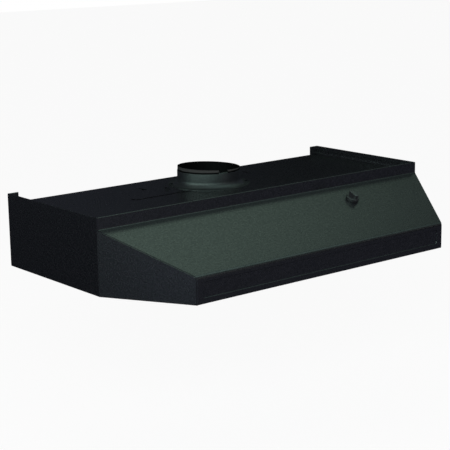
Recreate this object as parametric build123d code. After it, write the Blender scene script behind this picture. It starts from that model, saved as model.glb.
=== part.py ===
from build123d import *
import math
import os

# Under cabinet range hood, millimetres, +X to the right, +Y to the wall, +Z up.
# The origin is the middle of the four cabinet screw keyholes, on top of the top panel.

# Shell
hood_width = 760.0
box_depth = 285.0
nose_depth = 150.0
hood_height = 134.5
top_recess = 17.5
strip_height = 21.0
lip_height = 47.5
lip_width = 585.0
front_reach = 135.0
sheet = 0.8
bend = 1.6
strip_bend = 2.5
nose_bend = 8.0
hem_drop = 8.0
hem_bend = 0.85
hem_step = 1.8
return_width = 10.5
rear_return = 21.0
back_flange = 11.8
reveal = 2.2
shell_gap = 0.2
edge_gap = 0.5
wing_flange_width = 12.0
tray_rise = 8.3
tray_bend = 5.0

# Field pressed into the lip
field_depth = 1.5
field_margin = 10.0
field_inset = 12.5
field_corner = 5.0
field_draft = 30.0

# Keyholes and duct outlets
keyhole_x = 128.0
keyhole_y = 80.0
keyhole_head = 5.5
keyhole_slot = 2.75
keyhole_run = 16.0
outlet_left = -198.0
outlet_width = 256.0
outlet_ahead = 34.0
outlet_cut = 7.0
outlet_hook = 12.0
tab_height = 4.0
tab_width = 16.0
tab_gap = 15.2

# Duct collar and damper
duct_back = 104.0
collar_radius = 60.5
collar_top = 27.7
collar_foot = 78.0
collar_flare = 8.0
collar_screw_circle = 73.0
collar_screw_turns = (-30, 150)
ring_top = 33.8
ring_lean = 2.3
ring_foot = 6.0
ring_gap_from = -110.0
ring_gap_to = -91.5
ring_stop_turns = (55, 125, 235, 305)
ring_stop_width = 6.0
ring_stop_reach = 4.5
rod_z = 14.0
rod_radius = 1.5
knuckle_radius = 2.2
knuckle_width = 18.0
knuckle_gap = 1.0
knuckle_middle = 10.0
flap_gap = 1.3
flap_sheet = 0.6

# Screws, one size for all the sheet metal
screw_radius = 1.8
screw_head = 3.4
screw_height = 2.2
cross_span = 1.2
cross_width = 0.25

# Blower box and fan plate
blower_width = 224.0
blower_depth = 168.0
blower_back_gap = 22.0
blower_rise = 19.0
blower_corner = 3.0
blower_ledge = 8.0
blower_flange = 10.0
blower_screw_x = 90.0
fan_plate_rise = 50.0
fan_plate_edge = 12.0
inlet_height = 9.0
inlet_bend = 4.0

# Fan
fan_radius = 70.0
fan_tip_gap = 4.0
fan_rise = 6.0
fan_hub = 13.0
hub_above = 11.0
hub_below = 12.0
blade_count = 5
blade_sheet = 1.6
root_chord = 22.0
middle_chord = 40.0
tip_chord = 50.0
root_pitch = 48.0
middle_pitch = 34.0
tip_pitch = 24.0
fan_nut_radius = 6.0
fan_nut_height = 4.0
shaft_radius = 3.0
shaft_past_nut = 1.0

# Motor under the fan
strap_drop = 14.0
strap_sheet = 1.5
strap_half = 84.0
strap_width = 24.0
strap_foot = 21.0
strap_bend = 2.0
strap_hole = 9.0
core_width = 52.0
core_height = 15.0
core_front = 44.0
core_rear = 24.0
coil_limb = 14.0
coil_window = 10.0
window_side = 2.0
coil_width = 28.0
coil_wall = 7.0
coil_corner = 3.0
rotor_radius = 15.0
rotor_gap = 0.4
rotor_inset = 0.5
bridge_width = 18.0
bridge_boss = 12.0
upper_bridge = 7.5
lower_bridge = 7.0
bushing_radius = 6.0
bushing_inset = 0.6
bearing_gap = 0.05
motor_screw_x = 21.0
motor_screw_radius = 2.0
motor_screw_head = 3.6
motor_screw_height = 2.4
motor_nut_radius = 4.0
motor_nut_height = 3.0

# Grease filter
filter_side = 6.0
filter_ahead = 8.0
filter_thick = 5.2
filter_sheet = 0.8
filter_border = 12.0
mesh_edge = 5.0
mesh_pitch_x = 21.0
mesh_pitch_y = 15.4
mesh_strand = 3.8
pivot_inset = 2.5
pivot_radius = 2.0
pivot_length = 3.6
pivot_gap = 0.06
ear_sheet = 1.2
ear_width = 14.0
ear_gap = 1.0
ear_margin = 2.5
pull_width = 28.0
pull_sheet = 1.0
pull_length = 10.0
pull_drop = 6.5

# Leaf springs on the blower box and the lamp pan
thin_sheet = 0.6
spring_width = 20.0
spring_height = 36.0
spring_straight = 14.0
spring_gap = 0.3
spring_foot = 3.0
filter_spring_x = 70.0
lens_spring_x = 45.0

# Lamp
lamp_gap = 26.0
lamp_side_gap = 48.0
lamp_back_gap = 68.0
lamp_depth = 114.0
lamp_rise = 21.0
pan_corner = 3.0
lamp_screw_inset = 20.0
socket_radius = 18.0
socket_length = 38.0
socket_floor = 10.0
socket_gap = 0.3
lamp_centre = 50.0
cap_radius = 13.0
cap_wall = 0.8
cap_length = 28.0
cap_floor = 8.0
glass_radius = 29.0
glass_length = 84.0
glass_wall = 1.0
glass_seat = 6.0
glass_swell = 0.47
lens_thick = 2.0
lens_inset = 1.0
lens_ahead = 4.0
lens_dish = 9.0
lens_rim = 7.0
lens_corner = 5.0
dish_corner = 8.0
lens_draft = 25.0
lens_tab = 20.0
lens_tab_reach = 5.0
lens_ear_inset = 12.0
lens_ear_sheet = 1.2
lens_lug = 6.0
lens_lug_gap = 1.4
lens_pin = 1.5
lens_pin_gap = 0.06
lens_pin_past = 1.0
lens_barrel = 2.4
lens_hinge = 4.0

# Control on the sloping face
knob_offset = 25.0
knob_down = 42.0
knob_radius = 12.2
knob_lift = 0.6
knob_skirt = 6.4
knob_height = 15.0
knob_grip = 8.0
knob_edge = 1.4
knob_bore = 10.5
switch_width = 30.0
switch_depth = 18.0
switch_corner = 2.0
switch_reach = 13.5
neck_radius = 4.75
neck_height = 5.2
neck_gap = 0.25
switch_nut_radius = 8.0
switch_nut_height = 2.0
nut_room = 1.4

# Wiring
cover_side_gap = 50.0
cover_blower_gap = 38.0
cover_depth = 88.0
cover_drop = 56.0
cover_flange = 12.0
cover_screw_inset = 30.0
terminal_width = 40.0
terminal_depth = 18.0
terminal_inset = 34.0
terminal_pitch = 13.0
terminal_well = 3.0
terminal_well_depth = 6.0
terminal_back_gap = 51.0
entry_drop = 28.0
entry_radius = 11.4
entry_cut = 0.6
entry_tie = 3.0
earth_inset = 40.0
earth_radius = 5.0
earth_height = 4.0
lead_radius = 2.2
lead_gap = 0.6
lead_drop = 9.0
motor_lead_drop = 12.0
lead_turn = 10.0
motor_lead_gap = 20.0
lamp_lead_gap = 12.0

# Planes and levels that follow from the sizes
past = 5.0
half_width = hood_width / 2
strip_y = -front_reach
lip_y = strip_y - nose_depth
back_y = strip_y + box_depth
side_back_y = back_y - sheet
back_flange_y = back_y - back_flange
below = -sheet
top_z = top_recess
rim_z = top_z - hood_height
strip_foot_z = top_z - strip_height
lip_top_z = rim_z + lip_height
slope = (strip_foot_z - lip_top_z) / nose_depth
slant_angle = math.atan(slope)
duct_y = back_y - duct_back
ring_outer = collar_radius - sheet
ring_inner = ring_outer - sheet
flap_radius = ring_inner - flap_gap
box_half = blower_width / 2
box_rear = back_y - blower_back_gap
box_front = box_rear - blower_depth
box_foot = rim_z + blower_rise
fan_plate_z = box_foot + fan_plate_rise
fan_opening = fan_radius + fan_tip_gap
fan_z = fan_plate_z + fan_rise
strap_z = fan_plate_z - strap_drop
core_top = strap_z - strap_sheet - upper_bridge
core_foot = core_top - core_height
motor_foot = core_foot - lower_bridge
filter_half = box_half + filter_side
filter_front = box_front - filter_ahead
filter_rear = box_rear + filter_side
filter_top = box_foot
filter_low = filter_top - filter_thick
pivot_y = filter_rear - pivot_inset
pivot_z = filter_top - pivot_inset
lamp_left = box_half + lamp_gap
lamp_right = half_width - lamp_side_gap
lamp_rear = back_y - lamp_back_gap
lamp_front = lamp_rear - lamp_depth
lamp_foot = rim_z + lamp_rise
lamp_middle = (lamp_left + lamp_right) / 2
lamp_y = (lamp_front + lamp_rear) / 2
lamp_z = lamp_foot + lamp_centre
lens_front = lamp_front - lens_ahead
lens_rear = lamp_rear - lens_inset
lens_hinge_y = lamp_rear + lens_hinge
lens_hinge_z = lamp_foot - lens_thick / 2
knob_x = lamp_left + knob_offset
knob_y = strip_y - knob_down
knob_z = strip_foot_z - knob_down * slope
switch_lead = below - switch_depth / 2
cover_left = cover_side_gap - half_width
cover_right = -box_half - cover_blower_gap
cover_front = back_y - cover_depth
cover_foot = -cover_drop
terminal_right = cover_right - terminal_inset
terminal_left = terminal_right - terminal_width
terminal_y = back_y - terminal_back_gap
motor_lead_y = duct_y - core_front + coil_limb / 2
motor_lead_z = (core_top + core_foot) / 2 - core_height / 2 - coil_wall / 2
motor_lead_x = -box_half - motor_lead_gap
lamp_lead_x = lamp_left - lamp_lead_gap
lamp_lead_z = knob_z + switch_lead * math.cos(slant_angle)

# The corner wing runs from the fold to the lip
wing_length = math.hypot(half_width - lip_width / 2, nose_depth)
wing_x = (lip_width / 2 - half_width) / wing_length
wing_y = -nose_depth / wing_length


def block(x0, x1, y0, y1, z0, z1):
    """Box between two corners."""
    middle = Pos((x0 + x1) / 2, (y0 + y1) / 2, (z0 + z1) / 2)
    return middle * Box(x1 - x0, y1 - y0, z1 - z0)


def drum(x, y, z0, z1, radius):
    """Upright cylinder between two levels."""
    return Pos(x, y, (z0 + z1) / 2) * Cylinder(radius, z1 - z0)


def rail(x0, x1, y, z, radius):
    """Cylinder lying along X."""
    return Pos((x0 + x1) / 2, y, z) * Rot(0, 90, 0) * Cylinder(radius, x1 - x0)


def plan_prism(points, z0, z1):
    """Plan outline in X and Y, raised from one level to the other."""
    face = make_face(Polyline(*points, close=True))
    return Pos(0, 0, z0) * extrude(face, amount=z1 - z0, dir=(0, 0, 1))


def profile_prism(face, x0, x1):
    """Profile in Y and Z, run along X."""
    placed = Pos(x0, 0, 0) * (Plane.YZ * face)
    return extrude(placed, amount=x1 - x0, dir=(1, 0, 0))


def polygon(points):
    """Flat face with straight sides."""
    return make_face(Polyline(*points, close=True))


def bent(points, radii, thickness):
    """Sheet section that follows a centre line with a bend at each inner point."""
    return trace(FilletPolyline(*points, radius=radii), line_width=thickness)


def sheet_run(section, path, depth):
    """Section carried along a plan path, with mitred corners; inward is to the right."""
    ways = []
    for (x0, y0), (x1, y1) in zip(path, path[1:]):
        long = math.hypot(x1 - x0, y1 - y0)
        ways.append(((x1 - x0) / long, (y1 - y0) / long))
    sides = [(dy, -dx) for dx, dy in ways]
    inner = []
    for (x, y), a, b in zip(path, sides[:1] + sides, sides + sides[-1:]):
        share = depth / (1 + a[0] * b[0] + a[1] * b[1])
        inner.append((x + share * (a[0] + b[0]), y + share * (a[1] + b[1])))
    legs = []
    for i, (way, side) in enumerate(zip(ways, sides)):
        (x0, y0), (x1, y1) = path[i], path[i + 1]
        spare = 2 * depth
        start = (x0 - spare * way[0], y0 - spare * way[1], 0)
        stand = Plane(origin=start, x_dir=(*side, 0), z_dir=(-way[0], -way[1], 0))
        long = math.hypot(x1 - x0, y1 - y0) + 2 * spare
        leg = extrude(stand * section, amount=long, dir=(*way, 0))
        plan = [path[i], path[i + 1], inner[i + 1], inner[i]]
        legs.append(leg & plan_prism(plan, rim_z - past, top_z + past))
    return legs[0] + legs[1:]


def slant_z(y, depth):
    """Level of the plane that lies a given depth under the sloping face."""
    return strip_foot_z - (strip_y - y) * slope - depth / math.cos(slant_angle)


def wing_point(along, inward):
    """Plan point on the right wing, from the fold towards the lip and inwards."""
    x = half_width + along * wing_x + inward * wing_y
    y = strip_y + along * wing_y - inward * wing_x
    return (x, y)


def wing_reach(y, inward):
    """Half width of the nose at a depth, a given distance inside the wing."""
    x, edge_y = wing_point(0, inward)
    return x + (edge_y - y) * wing_x / -wing_y


def screw(x, y, z, head, height, shank, length, down):
    """Pan head screw with a cross recess; its head lies under or over the level z."""
    way = -1 if down else 1
    top = drum(x, y, min(z, z + way * height), max(z, z + way * height), head)
    stem = drum(x, y, min(z, z - way * length), max(z, z - way * length), shank)
    depth = height / 2
    cross_z = z + way * (height - depth / 2)
    arm = head * cross_span
    for turn in (0, 90):
        top -= Pos(x, y, cross_z) * Rot(0, 0, turn) * Box(arm, head * cross_width, depth)
    return top + stem


def sheet_screw(spot, z, grip, down):
    """The hood's common screw at a plan spot, through sheets of a given thickness."""
    return screw(*spot, z, screw_head, screw_height, screw_radius, grip, down)


def screw_holes(spots, z):
    """Holes for the common screw through sheets near a level."""
    return [drum(x, y, z - past, z + past, screw_radius) for x, y in spots]


def group(solids):
    """Several separate solids in one node."""
    return Compound(children=[s for item in solids for s in item.solids()])


def front_panel():
    """Strip, sloping face and lip from one sheet, hemmed above and turned in below."""
    half = sheet / 2
    strip_line = strip_y + half
    lip_line = lip_y + half
    points = [
        (strip_line + hem_step, top_z - half - hem_drop),
        (strip_line + hem_step, top_z - half),
        (strip_line, top_z - half),
        (strip_line, slant_z(strip_line, half)),
        (lip_line, slant_z(lip_line, half)),
        (lip_line, rim_z + half),
        (lip_line + return_width, rim_z + half),
    ]
    radii = [hem_bend, hem_bend, strip_bend, nose_bend, bend]
    panel = profile_prism(bent(points, radii, sheet), -half_width, half_width)
    strip_end = half_width - sheet - shell_gap
    jog_y = strip_y - shell_gap
    right = [
        (strip_end, strip_y + hem_step + past),
        (strip_end, jog_y),
        (wing_reach(jog_y, reveal), jog_y),
        (wing_reach(lip_y - past, reveal), lip_y - past),
    ]
    left = [(-x, y) for x, y in reversed(right)]
    panel &= plan_prism(right + left, rim_z - past, top_z + past)
    panel = sink_field(panel)
    return panel - knob_place() * Cylinder(neck_radius + neck_gap, 2 * past)


def sink_field(panel):
    """Long field pressed into the lip, with rounded corners and drafted walls."""
    long = lip_width - 2 * field_inset
    tall = lip_height - 2 * field_margin
    middle_z = rim_z + lip_height / 2
    face = Plane(origin=(0, lip_y, middle_z), x_dir=(1, 0, 0), z_dir=(0, 1, 0))
    hollow = extrude(face * RectangleRounded(long, tall, field_corner), amount=field_depth, taper=field_draft)
    backing = RectangleRounded(long + sheet, tall + sheet, field_corner + sheet / 2)
    skin = extrude(face.offset(sheet / 2) * backing, amount=field_depth + sheet / 2, taper=field_draft)
    return panel + skin - hollow


def side_panel():
    """Right side: rear return, side and corner wing as one bent sheet with flanges."""
    half = sheet / 2
    profile = [
        (half + hem_step, top_z - half - hem_drop),
        (half + hem_step, top_z - half),
        (half, top_z - half),
        (half, rim_z + half),
        (half + return_width, rim_z + half),
    ]
    section = bent(profile, [hem_bend, hem_bend, bend], sheet)
    path = [
        (half_width - rear_return, side_back_y),
        (half_width, side_back_y),
        (half_width, strip_y),
        (lip_width / 2, lip_y),
    ]
    panel = sheet_run(section, path, return_width + 2 * sheet)
    panel &= profile_prism(under_front(), 0, half_width + past)
    panel -= hem_notch()
    panel -= turned_notch()
    return panel + wing_flange()


def under_front():
    """Area in Y and Z that lies behind the inner face of the front panel."""
    far = back_y + past
    low = rim_z - past
    high = top_z + past
    front = lip_y + sheet
    nose = (front, slant_z(front, sheet))
    points = [
        (far, low),
        (front, low),
        nose,
        (strip_y, slant_z(strip_y, sheet)),
        (strip_y, high),
        (far, high),
    ]
    area = polygon(points)
    corner = area.vertices().sort_by_distance((*nose, 0))[0]
    return fillet(corner, nose_bend - sheet / 2)


def hem_notch():
    """Room for the end of the front panel's hem in the hem of the side."""
    deep = hem_step + sheet + 2 * edge_gap
    inner = half_width - hem_step - 3 * sheet
    low = top_z - hem_drop - sheet
    return block(inner, half_width - sheet, strip_y - past, strip_y + deep, low, top_z + past)


def turned_notch():
    """Room for the front panel's turned foot in the foot of the wing."""
    deep = lip_y + sheet / 2 + return_width + edge_gap
    ahead = lip_y - past
    inner = lip_width / 4
    points = [
        (wing_reach(ahead, reveal), ahead),
        (wing_reach(deep, reveal), deep),
        (inner, deep),
        (inner, ahead),
    ]
    return plan_prism(points, rim_z - past, rim_z + 2 * bend)


def wing_flange():
    """Flange of the right wing behind the sloping face and the lip, bent round the nose with them."""
    deep = 1.5 * sheet
    line = lip_y + deep
    start_y = strip_y - strip_bend - 2 * bend
    points = [
        (start_y, slant_z(start_y, deep)),
        (line, slant_z(line, deep)),
        (line, rim_z + 2 * bend),
    ]
    band = profile_prism(bent(points, [nose_bend - sheet], sheet), 0, half_width)
    knee = wing_point(wing_length, wing_flange_width)
    plan = [
        wing_point(0, sheet / 2),
        (wing_reach(lip_y, sheet / 2), lip_y),
        (knee[0], lip_y),
        knee,
        wing_point(0, wing_flange_width),
    ]
    return band & plan_prism(plan, rim_z, top_z)


def top_panel():
    """Sunk tray with three turned-up edges, keyholes, duct hole and duct slot."""
    reach = half_width - sheet
    front = strip_y + sheet
    rear = side_back_y - sheet
    tray = tray_box(reach, front, rear, below, tray_rise, tray_bend)
    tray -= tray_box(reach - sheet, front + sheet, rear + past, 0, tray_rise, tray_bend - sheet)
    holes = [drum(0, duct_y, -past, past, ring_inner - sheet)]
    for x in (-keyhole_x, keyhole_x):
        for y in (-keyhole_y, keyhole_y):
            holes.append(keyhole(x, y))
    spots = blower_screw_spots() + lamp_screw_spots() + cover_screw_spots() + collar_screw_spots()
    for cut in holes + screw_holes(spots, 0) + duct_slot():
        tray -= cut
    return tray + lanced_tab()


def tray_box(reach, front, rear, floor, rise, radius):
    """Box whose floor edges and front corners are rounded like bends."""
    body = block(-reach, reach, front, rear, floor, floor + rise)
    floor_edges = body.faces().sort_by(Axis.Z)[0].edges().sort_by(Axis.Y)[:-1]
    corners = body.edges().filter_by(Axis.Z).sort_by(Axis.Y)[:2]
    return fillet(list(floor_edges) + list(corners), radius)


def keyhole(x, y):
    """Keyhole: round entry for the screw head and a slot that runs to the wall."""
    slot = block(x - keyhole_slot, x + keyhole_slot, y, y + keyhole_run, -past, past)
    end = drum(x, y + keyhole_run, -past, past, keyhole_slot)
    return drum(x, y, -past, past, keyhole_head) + slot + end


def duct_slot():
    """Front cut line of the rectangular duct outlet, with a short hook at each end."""
    front = duct_y - outlet_ahead
    right = outlet_left + outlet_width
    half = outlet_cut / 2
    line = block(outlet_left, right, front - half, front + half, -past, past)
    hooks = [block(x - half, x + half, front, front + outlet_hook, -past, past) for x in (outlet_left, right)]
    return [line] + hooks


def lanced_tab():
    """Small raised tab left of the collar, bent up out of the sheet."""
    right = -collar_foot - tab_gap
    return block(right - sheet, right, duct_y, duct_y + tab_width, below, tab_height)


def back_panel():
    """Plain rear sheet with a flange under the top panel and a turned-in foot."""
    half = sheet / 2
    line = back_y - half
    points = [
        (back_flange_y, below - half),
        (line, below - half),
        (line, rim_z + half),
        (line - return_width, rim_z + half),
    ]
    clear = half_width - rear_return - 2 * edge_gap
    panel = profile_prism(bent(points, [bend, bend], sheet), -clear, clear)
    reach = half_width - edge_gap
    panel += block(-reach, reach, side_back_y, back_y, rim_z + 2 * bend, below - 2 * bend)
    return panel - knock_out()


def knock_out():
    """Ring cut of the cable knock-out, left tied to the sheet in two places."""
    spot = Pos((cover_left + cover_right) / 2, back_y, -entry_drop) * Rot(90, 0, 0)
    ring = Cylinder(entry_radius, past) - Cylinder(entry_radius - entry_cut, past)
    return spot * (ring - Box(3 * entry_radius, entry_tie, past))


def duct_collar():
    """Flared foot and straight spigot, drawn from one sheet."""
    half = sheet / 2
    line = collar_radius - half
    points = [(collar_foot, half), (line, half), (line, collar_top)]
    section = bent(points, [collar_flare], sheet)
    collar = Pos(0, duct_y, 0) * revolve(Plane.XZ * section, Axis.Z)
    for hole in screw_holes(collar_screw_spots(), 0):
        collar -= hole
    return collar


def collar_screw_spots():
    """Two opposite screws in the foot of the collar."""
    turns = [math.radians(a) for a in collar_screw_turns]
    return [(collar_screw_circle * math.cos(a), duct_y + collar_screw_circle * math.sin(a)) for a in turns]


def collar_screws():
    """Screws that hold the collar to the top panel."""
    return group([sheet_screw(spot, sheet, 2 * sheet, False) for spot in collar_screw_spots()])


def damper_ring():
    """Open rolled ring inside the collar, higher to the left, with four stops for the flaps."""
    tall = ring_top + past - ring_foot
    spot = Pos(0, duct_y, ring_foot + tall / 2)
    ring = spot * (Cylinder(ring_outer, tall) - Cylinder(ring_inner, 2 * tall))
    span = 4 * collar_radius
    ring -= Pos(0, duct_y, ring_top) * Rot(0, ring_lean, 0) * Pos(0, 0, past) * Box(span, span, 2 * past)
    ring -= gap_wedge()
    stop_top = rod_z - knuckle_radius
    keep = drum(0, duct_y, 0, ring_top, ring_outer - sheet / 2)
    for turn in ring_stop_turns:
        stop = Box(ring_stop_reach + sheet, ring_stop_width, sheet)
        stop = Pos(ring_inner - ring_stop_reach / 2, 0, 0) * stop
        stop = Pos(0, duct_y, stop_top - sheet / 2) * Rot(0, 0, turn) * stop
        ring += stop & keep
    return ring - rail(-collar_radius, collar_radius, duct_y, rod_z, rod_radius)


def gap_wedge():
    """Wedge that opens the ring at its seam."""
    reach = 2 * collar_radius
    turns = [math.radians(a) for a in (ring_gap_from, ring_gap_to)]
    tips = [(reach * math.cos(a), duct_y + reach * math.sin(a)) for a in turns]
    return plan_prism([(0, duct_y)] + tips, 0, 2 * ring_top)


def damper_rod():
    """Hinge rod across the ring, kept in place by the collar."""
    rod = rail(-ring_outer, ring_outer, duct_y, rod_z, rod_radius)
    return rod & drum(0, duct_y, 0, ring_top, ring_outer)


def damper_flap(way, knuckles):
    """Half round flap with rolled knuckles on the rod; way is -1 in front, 1 behind."""
    bottom = rod_z - knuckle_radius
    top = bottom + flap_sheet
    disc = drum(0, duct_y, bottom, top, flap_radius)
    near = knuckle_radius + 2 * flap_sheet
    near_y = duct_y + way * near
    far_y = duct_y + way * collar_radius
    flap = disc & block(-collar_radius, collar_radius, min(near_y, far_y), max(near_y, far_y), 0, ring_top)
    tail_y = near_y + way * flap_sheet
    for x in knuckles:
        tube = rail(x, x + knuckle_width, duct_y, rod_z, knuckle_radius)
        tail = block(x, x + knuckle_width, min(duct_y, tail_y), max(duct_y, tail_y), bottom, top)
        flap += tube + tail
    return flap - rail(-collar_radius, collar_radius, duct_y, rod_z, rod_radius + 2 * bearing_gap)


def flap_knuckles():
    """Left ends of the front flap's and the rear flap's knuckles, side by side on the rod."""
    near = knuckle_middle
    step = knuckle_width + knuckle_gap
    front = (-near - step - knuckle_width, near)
    rear = (-near - knuckle_width, near + step)
    return front, rear


def blower_box():
    """Wrapped walls around the fan, with a ledge below and fixing flanges above."""
    middle = (box_rear + box_front) / 2
    tall = below - box_foot
    outside = RectangleRounded(blower_width, blower_depth, blower_corner)
    inside = RectangleRounded(blower_width - 2 * sheet, blower_depth - 2 * sheet, blower_corner - sheet)
    mouth = RectangleRounded(blower_width - 2 * blower_ledge, blower_depth - 2 * blower_ledge, blower_corner)
    box = Pos(0, middle, box_foot) * extrude(outside, amount=tall)
    box -= Pos(0, middle, box_foot + sheet) * extrude(inside, amount=tall)
    box -= Pos(0, middle, box_foot - past) * extrude(mouth, amount=2 * past)
    reach = box_half - blower_corner
    box += block(-reach, reach, box_front - blower_flange, box_front + sheet, below - sheet, below)
    box += block(-reach, reach, box_rear - sheet, box_rear + blower_flange - sheet, below - sheet, below)
    for hole in screw_holes(blower_screw_spots(), 0):
        box -= hole
    lead_hole = rail(-box_half - past, past - box_half, motor_lead_y, motor_lead_z, lead_radius + lead_gap)
    return box - lead_hole


def blower_screw_spots():
    """Four screws through the flanges of the blower box."""
    middle = blower_flange / 2
    return [(x, y) for x in (-blower_screw_x, blower_screw_x) for y in (box_front - middle, box_rear + middle)]


def blower_screws():
    """Screws driven up from inside through the flanges into the top panel."""
    return group([sheet_screw(spot, below - sheet, 2 * sheet, True) for spot in blower_screw_spots()])


def fan_plate():
    """Shelf inside the blower box with a rolled inlet ring and two turned edges."""
    reach = box_half - sheet
    front = box_front + sheet
    rear = box_rear - sheet
    corner = blower_corner - sheet
    shelf = RectangleRounded(2 * reach, rear - front, corner)
    plate = Pos(0, (front + rear) / 2, fan_plate_z) * extrude(shelf, amount=sheet)
    top = fan_plate_z + fan_plate_edge
    for x in (-reach, reach - sheet):
        plate += block(x, x + sheet, front + 2 * corner, rear - 2 * corner, fan_plate_z, top)
    rim = fan_opening + inlet_bend + sheet
    plate -= drum(0, duct_y, fan_plate_z - past, fan_plate_z + past, rim)
    half = sheet / 2
    points = [(rim + half, half), (fan_opening + half, half), (fan_opening + half, inlet_height)]
    ring = revolve(Plane.XZ * bent(points, [inlet_bend], sheet), Axis.Z)
    plate += Pos(0, duct_y, fan_plate_z) * ring
    for hole in screw_holes(strap_screw_spots(), fan_plate_z):
        plate -= hole
    return plate


def strap_screw_spots():
    """Two screws in each foot of the motor strap."""
    x = strap_half + strap_foot / 2 + strap_bend
    y = strap_width / 2 - screw_head - screw_radius
    return [(side * x, duct_y + way * y) for side in (-1, 1) for way in (-1, 1)]


def motor_strap():
    """Bent bar under the fan that carries the motor."""
    half = strap_sheet / 2
    foot_z = fan_plate_z - half
    bar_z = strap_z - half
    right = [(strap_half, bar_z), (strap_half, foot_z), (strap_half + strap_foot, foot_z)]
    left = [(-x, z) for x, z in reversed(right)]
    section = bent(left + right, [strap_bend] * 4, strap_sheet)
    strap = extrude(Plane.XZ * section, amount=strap_width / 2, both=True)
    strap = Pos(0, duct_y, 0) * strap
    strap -= drum(0, duct_y, strap_z - past, strap_z + past, strap_hole)
    for hole in motor_screw_holes() + screw_holes(strap_screw_spots(), fan_plate_z):
        strap -= hole
    return strap


def motor_screw_holes():
    """Two holes through the whole motor for its long screws."""
    return [drum(x, duct_y, motor_foot - past, strap_z + past, motor_screw_radius) for x in motor_screw_spots()]


def motor_screw_spots():
    """Places of the long screws across the motor."""
    return (-motor_screw_x, motor_screw_x)


def strap_screws():
    """Screws that hold the strap under the fan plate."""
    level = fan_plate_z - strap_sheet
    return group([sheet_screw(spot, level, strap_sheet + sheet, True) for spot in strap_screw_spots()])


def motor_laminations():
    """Stacked frame of the shaded pole motor with rotor bore and coil window."""
    half = core_width / 2
    front = duct_y - core_front
    low = core_foot - past
    high = core_top + past
    window = front + coil_limb
    core = block(-half, half, front, duct_y + core_rear, core_foot, core_top)
    core -= drum(0, duct_y, low, high, rotor_radius + rotor_gap)
    window_half = coil_width / 2 + window_side
    core -= block(-window_half, window_half, window, window + coil_window, low, high)
    for hole in motor_screw_holes():
        core -= hole
    return core


def motor_coil():
    """Wound bobbin around the front limb of the laminations."""
    half = coil_width / 2
    front = duct_y - core_front
    limb_end = front + coil_limb
    top = core_top + coil_wall - bushing_inset
    rear = limb_end + coil_window - rotor_inset
    coil = block(-half, half, front - coil_wall, rear, core_foot - coil_wall, top)
    coil = fillet(coil.edges().filter_by(Axis.X), coil_corner)
    return coil - block(-core_width, core_width, front, limb_end, core_foot, core_top)


def bearing_bridge(low, high):
    """Cast bridge across the rotor bore with a seat for the shaft bushing."""
    half = core_width / 2
    bridge = block(-half, half, duct_y - bridge_width / 2, duct_y + bridge_width / 2, low, high)
    bridge += drum(0, duct_y, low, high, bridge_boss)
    bridge -= drum(0, duct_y, low - past, high + past, bushing_radius)
    for hole in motor_screw_holes():
        bridge -= hole
    return bridge


def shaft_bushings():
    """Two plain bearings with running clearance on the shaft."""
    upper = drum(0, duct_y, core_top + bushing_inset, strap_z - strap_sheet, bushing_radius)
    lower = drum(0, duct_y, motor_foot, core_foot - bushing_inset, bushing_radius)
    bore = drum(0, duct_y, motor_foot - past, strap_z, shaft_radius + bearing_gap)
    return group([upper - bore, lower - bore])


def motor_screws():
    """Two long screws through both bridges, the laminations and the strap."""
    length = strap_z + motor_nut_height + bushing_inset - motor_foot
    size = (motor_screw_head, motor_screw_height, motor_screw_radius, length)
    return group([screw(x, duct_y, motor_foot, *size, True) for x in motor_screw_spots()])


def motor_nuts():
    """Hexagon nuts on top of the strap."""
    nut = extrude(RegularPolygon(motor_nut_radius, 6), amount=motor_nut_height)
    nut -= Cylinder(motor_screw_radius, 4 * motor_nut_height)
    return group([Pos(x, duct_y, strap_z) * nut for x in motor_screw_spots()])


def rotor_core():
    """Squirrel cage rotor on the shaft."""
    core = drum(0, duct_y, core_foot + rotor_inset, core_top - rotor_inset, rotor_radius)
    return core - shaft_bore()


def shaft_bore():
    """Bore for the motor shaft through whatever sits on it."""
    return drum(0, duct_y, motor_foot, 0, shaft_radius)


def motor_shaft():
    """Shaft from the lower bushing to the fan nut."""
    top = fan_z + hub_above + fan_nut_height + shaft_past_nut
    return drum(0, duct_y, motor_foot + rotor_inset, top, shaft_radius)


def fan_wheel():
    """Hub with five twisted blades, pitch easing from root to tip."""
    wheel = Pos(0, duct_y, fan_z)
    fan = drum(0, duct_y, fan_z - hub_below, fan_z + hub_above, fan_hub)
    for i in range(blade_count):
        fan += wheel * Rot(0, 0, 360 * i / blade_count) * fan_blade()
    fan &= drum(0, duct_y, fan_z - fan_radius, fan_z + fan_radius, fan_radius)
    return fan - shaft_bore()


def fan_blade():
    """One blade lofted through three sections that turn and widen outwards."""
    root = fan_hub - past
    tip = fan_radius + blade_sheet
    stations = (
        (root, root_chord, root_pitch),
        ((root + tip) / 2, middle_chord, middle_pitch),
        (tip, tip_chord, tip_pitch),
    )
    sections = []
    for radius, chord, pitch in stations:
        rim = Plane(origin=(radius, 0, 0), x_dir=(0, 1, 0), z_dir=(1, 0, 0))
        sections.append(rim * (Rot(0, 0, pitch) * Rectangle(chord, blade_sheet)))
    return loft(sections)


def fan_nut():
    """Hexagon nut that holds the wheel on the shaft."""
    nut = extrude(RegularPolygon(fan_nut_radius, 6), amount=fan_nut_height)
    nut = Pos(0, duct_y, fan_z + hub_above) * nut
    return nut - shaft_bore()


def filter_frame():
    """Channel frame of the grease filter, folded from thin aluminium."""
    frame = block(-filter_half, filter_half, filter_front, filter_rear, filter_low, filter_top)
    side = filter_half - filter_border
    front = filter_front + filter_border
    rear = filter_rear - filter_border
    frame -= block(-side, side, front, rear, filter_low - past, filter_top + past)
    side = filter_half - filter_sheet
    front = filter_front + filter_sheet
    rear = filter_rear - filter_sheet
    return frame - block(-side, side, front, rear, filter_low + filter_sheet, filter_top - filter_sheet)


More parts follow.
